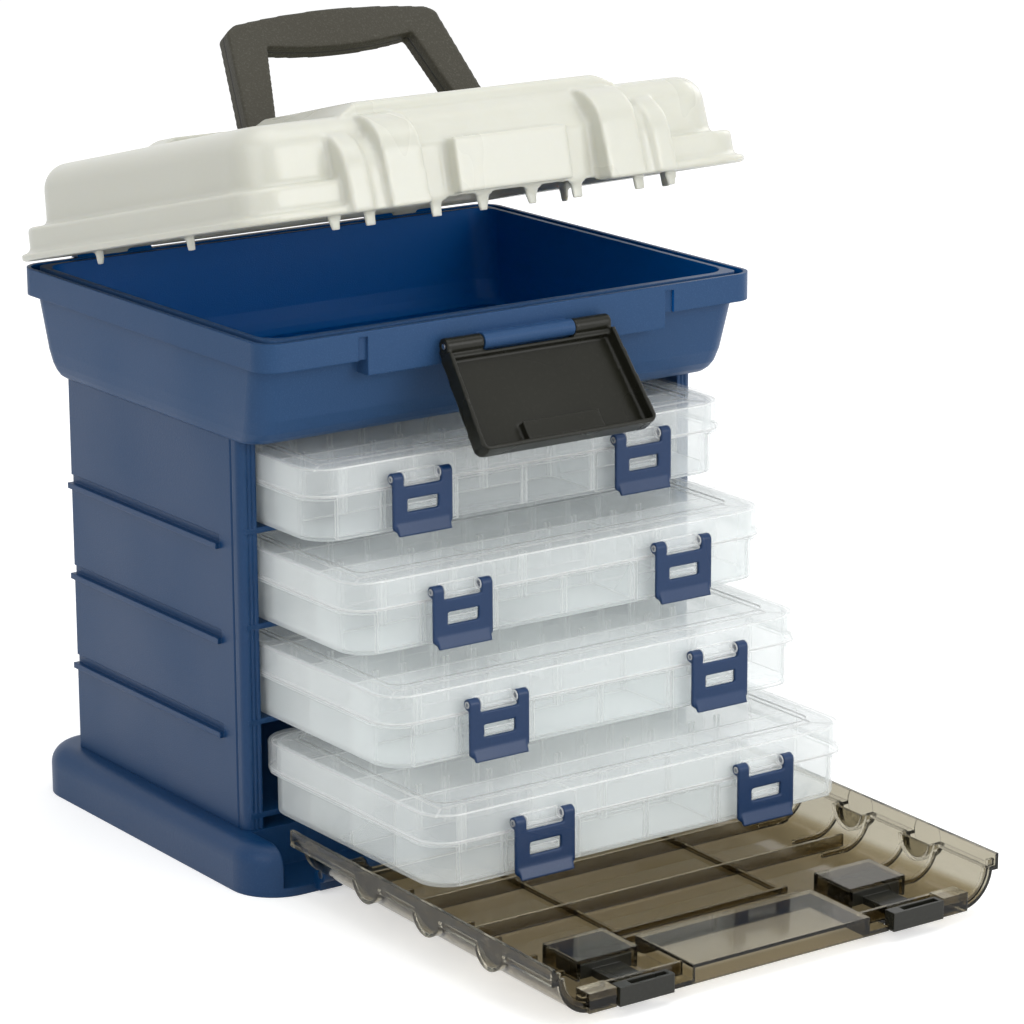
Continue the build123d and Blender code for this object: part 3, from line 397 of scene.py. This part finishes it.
def height_of(tree, place):
    """The height of a point above the floor."""
    split = add_node(tree, "ShaderNodeSeparateXYZ", (-900, 500))
    tree.links.new(place, split.inputs[0])
    return split.outputs["Z"]


def tub_bounce_mask(tree, place):
    """1 where a face of the tub looks towards the tub's middle, 0 outside."""
    surface = add_node(tree, "ShaderNodeNewGeometry", (-900, 900))
    inward = add_node(tree, "ShaderNodeVectorMath", (-900, 700), operation="SUBTRACT")
    inward.inputs[0].default_value = TUB_MIDDLE
    facing = add_node(tree, "ShaderNodeVectorMath", (-700, 800), operation="DOT_PRODUCT")
    wire(tree, (place, inward.inputs[1]), (surface.outputs["True Normal"], facing.inputs[0]),
         (inward.outputs[0], facing.inputs[1]))
    turned = math_node(tree, "GREATER_THAN", facing.outputs["Value"], 0.0, (-500, 800))
    above = math_node(tree, "GREATER_THAN", height_of(tree, place), TUB_FLOOR, (-500, 600))
    return math_node(tree, "MULTIPLY", turned, above, (-300, 700))


# %% Masks for the handle's groove and the painted shadow on the door's floor
HANDLE_LEAN = math.radians(24.5 + 13.4)
HANDLE_PIVOT = Vector((0, 0.00505, 0.38627))
GROOVE_HALF = 0.0009
DOOR_FLOOR_FULL, DOOR_FLOOR_ENDS = 0.0130, 0.0165


def parting_groove(tree, place):
    """1 in a narrow band round the handle's edge, half way through its thickness."""
    across = Vector((0, -math.cos(HANDLE_LEAN), math.sin(HANDLE_LEAN)))
    along = add_node(tree, "ShaderNodeVectorMath", (-900, 700), operation="DOT_PRODUCT")
    along.inputs[1].default_value = across
    tree.links.new(place, along.inputs[0])
    off = math_node(tree, "SUBTRACT", along.outputs["Value"], across.dot(HANDLE_PIVOT), (-700, 700))
    off = math_node(tree, "ABSOLUTE", off, place=(-500, 700))
    return ramp(tree, off, GROOVE_HALF, GROOVE_HALF * 0.5, place=(-300, 700))


def door_floor_shadow(tree, place):
    """1 low on the folded door where the boxes' painted shadow falls, fading to 0 up on its rails and its raised end
    panel.
    """
    return ramp(tree, height_of(tree, place), DOOR_FLOOR_ENDS, DOOR_FLOOR_FULL, place=(-700, 700))


# %% The large opaque pieces
# The edges tone of each finish is a painted highlight
case_blue = plastic(
    "case_blue", body=(0.003, 0.038, 0.118), flecks=(0.015, 0.064, 0.160), edges=(0.003, 0.056, 0.185),
    streak=(0.006, 0.043, 0.114), Specular_IOR_Level=0.32)
# Painted light: the tub's greyer body is painted sheen, as its own sheen is kept low, and the brighter inside blue is
# painted bounce light
tub_blue = plastic(
    "tub_blue", body=(0.024, 0.067, 0.160), flecks=(0.040, 0.097, 0.210), edges=(0.014, 0.078, 0.220),
    streak=(0.026, 0.070, 0.155), inside=(tub_bounce_mask, (0.0, 0.107, 0.380)), Specular_IOR_Level=0.16)
# Light enters a pearl plastic a little way and comes out again, so the lid glows softly
# Its lighter streaks are flow marks and also painted light, where light shines through the plastic in streaks
pearl_lid = plastic(
    "pearl_lid", body=(0.61, 0.61, 0.53), flecks=(0.65, 0.65, 0.58), edges=(0.71, 0.70, 0.63),
    streak=(0.70, 0.70, 0.63), roughness=0.30, rough_spread=0.03, grains=400.0, depth=0.00002,
    reach=0.0008, fleck_share=0.15, streak_share=0.2, streaks=30.0, stretch=(1.0, 0.35, 0.35),
    Coat_Weight=0.25, Coat_Roughness=0.15, Subsurface_Weight=0.3, Subsurface_Radius=(1.0, 0.85, 0.6),
    Subsurface_Scale=0.006)
print("large finishes", [finish.name for finish in (case_blue, tub_blue, pearl_lid)])

# %% The handle, latches and pins
# The edges tone of each finish is a painted highlight
handle_grey = plastic(
    "handle_grey", body=(0.033, 0.030, 0.018), flecks=(0.075, 0.072, 0.055), edges=(0.070, 0.066, 0.050),
    streak=(0.044, 0.038, 0.028), roughness=0.58, grains=900.0, depth=0.0003, reach=0.0016,
    fleck_share=0.6, edge_share=0.35, groove=parting_groove, Specular_IOR_Level=0.35)
latch_black = plastic(
    "latch_black", body=(0.010, 0.010, 0.006), flecks=(0.016, 0.016, 0.011), edges=(0.050, 0.049, 0.038),
    streak=(0.018, 0.018, 0.012), roughness=0.32, grains=400.0, depth=0.00003, reach=0.0010,
    edge_share=0.6, Specular_IOR_Level=0.25)
box_latch_blue = plastic(
    "box_latch_blue", body=(0.003, 0.027, 0.092), flecks=(0.009, 0.037, 0.112), edges=(0.016, 0.062, 0.18),
    streak=(0.006, 0.033, 0.102), roughness=0.34, grains=900.0, depth=0.00003, reach=0.0008,
    Specular_IOR_Level=0.35)
door_latch_grey = plastic(
    "door_latch_grey", body=(0.016, 0.016, 0.012), flecks=(0.024, 0.024, 0.019), edges=(0.060, 0.058, 0.050),
    streak=(0.016, 0.016, 0.013), roughness=0.30, grains=700.0, depth=0.00003, reach=0.0008,
    Specular_IOR_Level=0.3)
steel = plastic(
    "steel", body=(0.52, 0.52, 0.53), flecks=(0.60, 0.60, 0.61), edges=(0.70, 0.70, 0.72),
    streak=(0.46, 0.46, 0.47), roughness=0.32, grains=2500.0, depth=0.00002, reach=0.0004, Metallic=1.0)
print("small finishes", [finish.name for finish in (handle_grey, latch_black, box_latch_blue,
                                                    door_latch_grey, steel)])

# %% [markdown]
# ## The clear boxes
#
# The boxes are natural polypropylene, clear but a little milky. A glass shader bends light at every
# wall, and four boxes with dozens of thin walls would take many bounces. Thin moulded walls hardly
# shift what is behind them, so each surface here covers only a share of what it hides: a small
# share face on, a large one at a shallow angle or at an edge, as a real wall seen edge on looks
# denser. Shadow rays meet a smaller share, because milky plastic passes most light on.

# %% Clear milky plastic
MILKY_ROUGHNESS = 0.2
GLANCING = 0.4
# Slow patches in the milkiness: how many in a metre, how strong, and the noise values they span
HAZE_PATCHES, HAZE_SHARE = 12.0, 0.3
HAZE_THIN, HAZE_THICK = 0.3, 0.7
BOX_SHADOW = 0.35


def lighter_shadow(tree, share):
    """1 for every ray but a shadow ray, which meets only a share of the plastic."""
    rays = add_node(tree, "ShaderNodeLightPath", (-700, 500))
    passed = math_node(tree, "MULTIPLY", rays.outputs["Is Shadow Ray"], 1 - share, (-450, 400))
    return math_node(tree, "SUBTRACT", 1.0, passed, (-250, 400))


def see_through(name, body, thin, edge_on, edge_highlight, edge_share, reach, **sheen):
    """Thin clear plastic: thin and edge_on are the shares covered face on and at a shallow angle."""
    material, tree, output = new_material(name)
    haze = add_node(tree, "ShaderNodeTexNoise", (-1000, 0))
    haze.inputs["Detail"].default_value = 0
    haze.inputs["Scale"].default_value = HAZE_PATCHES
    tree.links.new(object_place(tree), haze.inputs["Vector"])
    patch = ramp(tree, haze.outputs["Fac"], HAZE_THIN, HAZE_THICK, 1 - HAZE_SHARE, 1 + HAZE_SHARE, (-700, 0))
    angle = add_node(tree, "ShaderNodeLayerWeight", (-1000, 250))
    angle.inputs["Blend"].default_value = GLANCING
    share = ramp(tree, angle.outputs["Facing"], 0.0, 1.0, thin, edge_on, (-700, 250))
    soft = group_node(tree, edge_group, (-1000, -300), Reach=reach)
    cover = math_node(tree, "MULTIPLY", share, patch, (-450, 150))
    rim = math_node(tree, "MULTIPLY", soft.outputs["Edge"], edge_share, (-450, -50))
    cover = math_node(tree, "ADD", cover, rim, (-250, 100))
    cover = math_node(tree, "MULTIPLY", cover, lighter_shadow(tree, BOX_SHADOW), (-50, 200))
    cover.node.use_clamp = True
    # Painted highlight: the edges turn whiter, for the light that runs along the thin walls
    colour = mix_colours(tree, (0, -100), soft.outputs["Edge"], body, edge_highlight)
    principled(tree, output, Base_Color=colour, Alpha=cover, Normal=soft.outputs["Normal"],
               Roughness=MILKY_ROUGHNESS, **sheen)
    return material


# The white colour after the two shares is the painted highlight on the edges
clear_box = see_through("clear_box", (0.89, 0.935, 0.93), 0.095, 0.60, (1.0, 1.0, 0.99), 0.60, 0.0011)
clear_lid = see_through("clear_lid", (0.91, 0.94, 0.935), 0.075, 0.36, (1.0, 1.0, 0.99), 0.80, 0.0015,
                        Coat_Weight=0.5, Coat_Roughness=0.05)
print("clear finishes", [finish.name for finish in (clear_box, clear_lid)])

# %% [markdown]
# ## The smoked door
#
# The door is one large glossy moulding in brown-grey see-through plastic. It could use the thin
# plastic of the boxes, but its ribs and coves would look flat. As it is only one piece, it can
# afford a shader that really bends light, which gives the dark edges and bright glints of thick
# smoked plastic. It is a little darker in its edges, and its floor is painted a deeper brown as
# painted shadow of the boxes above it.

# %% Smoked plastic
# The share of light that passes: on the rails, on the floor with the boxes' painted shadow, and at the edges
SMOKE, SMOKE_SHADOWED_FLOOR, SMOKE_EDGE = (0.40, 0.370, 0.290), (0.205, 0.165, 0.092), (0.17, 0.15, 0.11)
SMOKE_STREAK, SMOKE_EDGE_SHARE = 0.9, 0.8
DOOR_SHADOW = 0.6

smoke_door, tree, output = new_material("smoke_door")
place = object_place(tree)
soft = group_node(tree, edge_group, (-900, -200), Reach=0.0009)
flow = group_node(tree, flow_group, (-900, 200), place, Streaks_per_metre=6.0, Drag=0.5)
streaked = tuple(part * SMOKE_STREAK for part in SMOKE)
colour = mix_colours(tree, (-500, 200), flow.outputs["Flow"], SMOKE, streaked)
# Painted shadow: the floor under the boxes is painted a deeper brown
colour = mix_colours(tree, (-400, 200), door_floor_shadow(tree, place), colour, SMOKE_SHADOWED_FLOOR)
colour = mix_colours(tree, (-300, 200), soft.outputs["Edge"], colour, SMOKE_EDGE, SMOKE_EDGE_SHARE)
principled(tree, output, Base_Color=colour, Alpha=lighter_shadow(tree, DOOR_SHADOW),
           Normal=soft.outputs["Normal"], Transmission_Weight=1.0, Roughness=0.08, IOR=1.33)
print(smoke_door.name, len(tree.nodes), "nodes")

# %% [markdown]
# ## Finishes on the CAD pieces
#
# Each CAD node keeps its shape. Its finish could be set node by node, but the record already says
# which pieces are moulded from the same plastic. So each gets its finish by its material slot
# there, and only the tub and the boxes' lids differ from the rest of their slot.

# %% Dress the nodes
FINISHES = {
    "case": case_blue, "lid": pearl_lid, "handle": handle_grey, "front_latch": latch_black,
    "door": smoke_door, "door_latch": door_latch_grey, "clear_box": clear_box,
    "box_latch": box_latch_blue, "pins": steel,
}
OWN_FINISHES = {"top_tub": tub_blue, **{f"box_{number}_lid": clear_lid for number in BOXES}}

for entry in frame["record"]["subparts"]:
    piece = nodes[entry["node"]]
    piece.data.materials.clear()
    piece.data.materials.append(OWN_FINISHES.get(entry["node"], FINISHES[entry["material_slot"]]))
print("dressed", len(nodes), "nodes")

# %% [markdown]
# ## Rounded copies of the moulded pieces
#
# CAD edges are knife sharp, while a moulded lid, handle or latch has soft corners that catch the
# light. A Bevel modifier needs clean edges, which a CAD mesh of loose triangles lacks. So each
# piece is rebuilt as an even skin by a voxel remesh, smoothed a little so that every corner
# rounds off, and thinned again. The lid and the handle are turned level first, because a remesh is
# cleanest when flat walls lie along its grid.

# %% Rounded copy
MERGE_WITHIN = 1e-6
SMOOTHING = 0.5


def rounded_copy(node, body, finish, voxel, passes, keep, level=None):
    """Stands a smoothed remesh in for a CAD node. level is the hinge point and angle to turn it flat."""
    turn = Matrix.Identity(4)
    if level is not None:
        hinge, angle = level
        turn = Matrix.Translation(hinge) @ Matrix.Rotation(angle, 4, "X") @ Matrix.Translation(-hinge)
    mesh = bpy.data.meshes.new(node + "_rounded")
    shape = bmesh.new()
    shape.from_mesh(nodes[node].data)
    bmesh.ops.remove_doubles(shape, verts=shape.verts, dist=MERGE_WITHIN)
    bmesh.ops.transform(shape, matrix=turn, verts=shape.verts)
    shape.to_mesh(mesh)
    shape.free()
    piece = bpy.data.objects.new(node + "_rounded", mesh)
    scene.collection.objects.link(piece)
    remesh = piece.modifiers.new("remesh", "REMESH")
    remesh.mode, remesh.voxel_size = "VOXEL", voxel
    smooth = piece.modifiers.new("smooth", "SMOOTH")
    smooth.factor, smooth.iterations = SMOOTHING, passes
    thin = piece.modifiers.new("thin", "DECIMATE")
    thin.ratio = keep
    done = bpy.data.meshes.new_from_object(piece.evaluated_get(bpy.context.evaluated_depsgraph_get()))
    piece.modifiers.clear()
    done.transform(turn.inverted())
    done.name = node + "_rounded"
    for face in done.polygons:
        face.use_smooth = True
    done.materials.clear()
    done.materials.append(finish)
    piece.data = done
    bpy.data.meshes.remove(mesh)
    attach(piece, body)
    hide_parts(node)
    print(piece.name, len(done.polygons), "faces")


# %% The lid, handle and latches
LID_HINGE = Vector((0, 0.1245, 0.306))
LID_OPENED = math.radians(13.4)

rounded_copy("lid_shell", "lid", pearl_lid, 0.0014, 4, 0.4, (LID_HINGE, LID_OPENED))
rounded_copy("handle", "handle", handle_grey, 0.0010, 4, 0.6, (HANDLE_PIVOT, HANDLE_LEAN))
rounded_copy("front_latch", "front_latch", latch_black, 0.0008, 3, 0.5)
for number in BOXES:
    for side in ("left", "right"):
        latch = f"box_{number}_latch_{side}"
        rounded_copy(latch, latch, box_latch_blue, 0.0006, 3, 0.5)

# %% [markdown]
# ## Slots for the dividers
#
# A utility box has pairs of small ribs moulded on its row walls. A loose divider drops between the
# two ribs of a pair, so the owner chooses how long each compartment is. They repeat dozens of
# times along straight walls, which suits Geometry Nodes: each wall face is one edge of a simple
# mesh, and the tree places a pair of ribs at even steps along it, facing the way the edge runs.

# %% A new geometry group
MATERIAL, WHOLE = "NodeSocketMaterial", "NodeSocketInt"


def new_tree(name, inputs):
    """Empty geometry node group with Geometry in and out, and named inputs (name, kind, value)."""
    group = bpy.data.node_groups.new(name, "GeometryNodeTree")
    group.interface.new_socket("Geometry", in_out="INPUT", socket_type="NodeSocketGeometry")
    for socket, kind, value in inputs:
        made = group.interface.new_socket(socket, in_out="INPUT", socket_type=kind)
        if value is not None:
            made.default_value = value
    group.interface.new_socket("Geometry", in_out="OUTPUT", socket_type="NodeSocketGeometry")
    return group, add_node(group, "NodeGroupInput", (-900, 0)), add_node(group, "NodeGroupOutput", (1100, 0))


def end_tree(tree, geometry, enter, leave):
    """Makes the instances real, sets the material and sends the geometry out."""
    real = add_node(tree, "GeometryNodeRealizeInstances", (600, 200))
    coated = add_node(tree, "GeometryNodeSetMaterial", (850, 200))
    wire(tree, (geometry, real.inputs[0]), (real.outputs[0], coated.inputs["Geometry"]),
         (enter.outputs["Material"], coated.inputs["Material"]), (coated.outputs[0], leave.inputs[0]))
    print(tree.name, len(tree.nodes), "nodes")


# %% Grow a mesh on edges
def grow(name, group, points, edges, body, slot, finish, heights=None, **values):
    """Runs a geometry group on a mesh of edges and keeps the result as one plain mesh on a body."""
    mesh = bpy.data.meshes.new(name)
    mesh.from_pydata(points, edges, [])
    if heights is not None:
        mesh.attributes.new("height", "FLOAT", "POINT").data.foreach_set("value", heights)
    piece = bpy.data.objects.new(name, mesh)
    scene.collection.objects.link(piece)
    modifier = piece.modifiers.new(name, "NODES")
    modifier.node_group = group
    sockets = {item.name: item.identifier for item in group.interface.items_tree if item.in_out == "INPUT"}
    modifier[sockets["Material"]] = finish
    for socket, value in values.items():
        modifier[sockets[socket.replace("_", " ")]] = value
    done = bpy.data.meshes.new_from_object(piece.evaluated_get(bpy.context.evaluated_depsgraph_get()))
    piece.modifiers.clear()
    piece.data = done
    done.name = name
    bpy.data.meshes.remove(mesh)
    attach(piece, body)
    print(name, len(done.polygons), "faces")


# %% Geometry nodes: a pair of ribs
# How far a rib stands off its wall, as a share of its depth, so that its back sinks in
RIB_STAND = 0.45

slot_tree, enter, leave = new_tree("divider_slots", [
    ("Slots in a row", WHOLE, 5), ("Gap", FLOAT, 0.0018), ("Rib width", FLOAT, 0.0009),
    ("Rib depth", FLOAT, 0.0016), ("Material", MATERIAL, None)])
size = add_node(slot_tree, "ShaderNodeCombineXYZ", (-500, -100))
size.inputs["Z"].default_value = 1.0
rib = add_node(slot_tree, "GeometryNodeMeshCube", (-300, -100))
wire(slot_tree, (enter.outputs["Rib width"], size.inputs["X"]), (enter.outputs["Rib depth"], size.inputs["Y"]),
     (size.outputs[0], rib.inputs["Size"]))
spacing = math_node(slot_tree, "ADD", enter.outputs["Gap"], enter.outputs["Rib width"], (-500, -300))
pair = add_node(slot_tree, "GeometryNodeJoinGeometry", (100, -100))
for half_spacing, node_y in ((0.5, -200), (-0.5, -400)):
    offset = add_node(slot_tree, "ShaderNodeCombineXYZ", (-300, node_y - 200))
    sideways = math_node(slot_tree, "MULTIPLY", spacing, half_spacing, (-500, node_y - 300))
    outwards = math_node(slot_tree, "MULTIPLY", enter.outputs["Rib depth"], RIB_STAND, (-500, node_y - 400))
    offset.inputs["Z"].default_value = 0.5
    shifted = add_node(slot_tree, "GeometryNodeTransform", (-100, node_y))
    wire(slot_tree, (sideways, offset.inputs["X"]), (outwards, offset.inputs["Y"]),
         (rib.outputs["Mesh"], shifted.inputs["Geometry"]), (offset.outputs[0], shifted.inputs["Translation"]),
         (shifted.outputs[0], pair.inputs[0]))
print("a pair of ribs,", len(slot_tree.nodes), "nodes so far")

# %% Geometry nodes: place the pairs along the edges and stretch them to their height
line = add_node(slot_tree, "GeometryNodeMeshToCurve", (-700, 300))
steps = add_node(slot_tree, "GeometryNodeResampleCurve", (-500, 300))
steps.mode = "COUNT"
tangent = add_node(slot_tree, "GeometryNodeInputTangent", (-300, 600))
turn = add_node(slot_tree, "FunctionNodeAlignRotationToVector", (-100, 600), axis="X", pivot_axis="Z")
tall = add_node(slot_tree, "GeometryNodeInputNamedAttribute", (-300, 100), data_type="FLOAT")
tall.inputs["Name"].default_value = "height"
stretch = add_node(slot_tree, "ShaderNodeCombineXYZ", (-100, 100))
stretch.inputs["X"].default_value = stretch.inputs["Y"].default_value = 1.0
placed = add_node(slot_tree, "GeometryNodeInstanceOnPoints", (300, 200))
wire(slot_tree, (enter.outputs["Geometry"], line.inputs["Mesh"]), (line.outputs["Curve"], steps.inputs["Curve"]),
     (enter.outputs["Slots in a row"], steps.inputs["Count"]), (tangent.outputs[0], turn.inputs["Vector"]),
     (tall.outputs["Attribute"], stretch.inputs["Z"]), (steps.outputs[0], placed.inputs["Points"]),
     (pair.outputs[0], placed.inputs["Instance"]), (turn.outputs[0], placed.inputs["Rotation"]),
     (stretch.outputs[0], placed.inputs["Scale"]))
end_tree(slot_tree, placed.outputs[0], enter, leave)

# %% Ribs in the four boxes
BOX_DEPTH = 0.1785
FLOOR_TOP = 0.0018
SINK = 0.0002
# Faces of the front and back walls and middles of the row walls, measured back from a box's front
FRONT_INNER, BACK_INNER = 0.0038, 0.1671
ROW_WALLS, ROW_WALL_HALF = (0.043725, 0.08545, 0.127175), 0.0007
SLOT_PITCH, SLOTS = 0.046, 5
ROW_SHIFTS = (0.0, 0.0, 0.020, 0.0)
LOW_RIB, HIGH_RIB = 0.0215, 0.0260

row_fronts = [FRONT_INNER] + [wall + ROW_WALL_HALF for wall in ROW_WALLS]
row_backs = [wall - ROW_WALL_HALF for wall in ROW_WALLS] + [BACK_INNER]
front_rises = [LOW_RIB, HIGH_RIB, HIGH_RIB, HIGH_RIB]
back_rises = [HIGH_RIB, HIGH_RIB, HIGH_RIB, LOW_RIB]
reach_x = SLOT_PITCH * (SLOTS - 1) / 2
for number in BOXES:
    low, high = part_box(f"box_{number}_tray")
    front, floor_z = high[1] - BOX_DEPTH, low[2] + FLOOR_TOP - SINK
    points, edges, heights = [], [], []
    for shift, *faces in zip(ROW_SHIFTS, zip(row_fronts, front_rises), zip(row_backs, back_rises)):
        # The front wall's edge runs to the right and the back wall's to the left, so both face inwards
        for way, (y, rise) in zip((1, -1), faces):
            edges.append((len(points), len(points) + 1))
            points += [(shift + end * way * reach_x, front + y, floor_z) for end in (-1, 1)]
            heights += [rise, rise]
    grow(f"box_{number}_slots", slot_tree, points, edges, f"box_{number}", "clear_box", clear_box, heights,
         Slots_in_a_row=SLOTS)

# %% [markdown]
# ## Beads under the box covers
#
# A thin raised line runs round the inside of each cover's top panel, with a short one out to each
# corner. It stiffens the panel and shows through the clear plastic. A line that follows a path is
# a profile swept along edges, so the tree only needs the edges and the size of the bead.

# %% Geometry nodes: a bead along edges
bead_tree, enter, leave = new_tree("moulded_bead", [
    ("Bead width", FLOAT, 0.0012), ("Bead height", FLOAT, 0.0008), ("Material", MATERIAL, None)])
line = add_node(bead_tree, "GeometryNodeMeshToCurve", (-600, 200))
upright = add_node(bead_tree, "GeometryNodeSetCurveNormal", (-350, 200))
upright.mode = "Z_UP"
profile = add_node(bead_tree, "GeometryNodeCurvePrimitiveQuadrilateral", (-350, -100))
sweep = add_node(bead_tree, "GeometryNodeCurveToMesh", (-50, 200))
sweep.inputs["Fill Caps"].default_value = True
wire(bead_tree, (enter.outputs["Geometry"], line.inputs["Mesh"]), (line.outputs[0], upright.inputs["Curve"]),
     (enter.outputs["Bead width"], profile.inputs["Width"]), (enter.outputs["Bead height"], profile.inputs["Height"]),
     (upright.outputs[0], sweep.inputs["Curve"]), (profile.outputs[0], sweep.inputs["Profile Curve"]))
end_tree(bead_tree, sweep.outputs[0], enter, leave)

# %% Beads on the four covers
BEAD_Z = 0.0390
PANEL_HALF, PANEL_NEAR, PANEL_FAR = 0.1235, 0.017, 0.1585
CORNER_HALF, CORNER_NEAR, CORNER_FAR = 0.1325, 0.0075, 0.1655
# The short lines start just off the panel's corners, so that each is an edge of its own
START_SCALE, START_OFF = 1.006, 0.0007


def corners(half, near, far):
    """The four corners of a rectangle, from the near left one round to the far left one."""
    return [(-half, near), (half, near), (half, far), (-half, far)]


panel = corners(PANEL_HALF, PANEL_NEAR, PANEL_FAR)
outer = corners(CORNER_HALF, CORNER_NEAR, CORNER_FAR)
edges = [(0, 1), (1, 2), (2, 3), (3, 0)] + [(8 + corner, 4 + corner) for corner in range(4)]
for number in BOXES:
    low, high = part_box(f"box_{number}_tray")
    front, z = high[1] - BOX_DEPTH, low[2] + BEAD_Z
    points = [(x, front + y, z) for x, y in panel + outer]
    points += [(x * START_SCALE, front + y + (-START_OFF if y == PANEL_NEAR else START_OFF), z) for x, y in panel]
    grow(f"box_{number}_bead", bead_tree, points, edges, f"box_{number}", "clear_box", clear_lid)
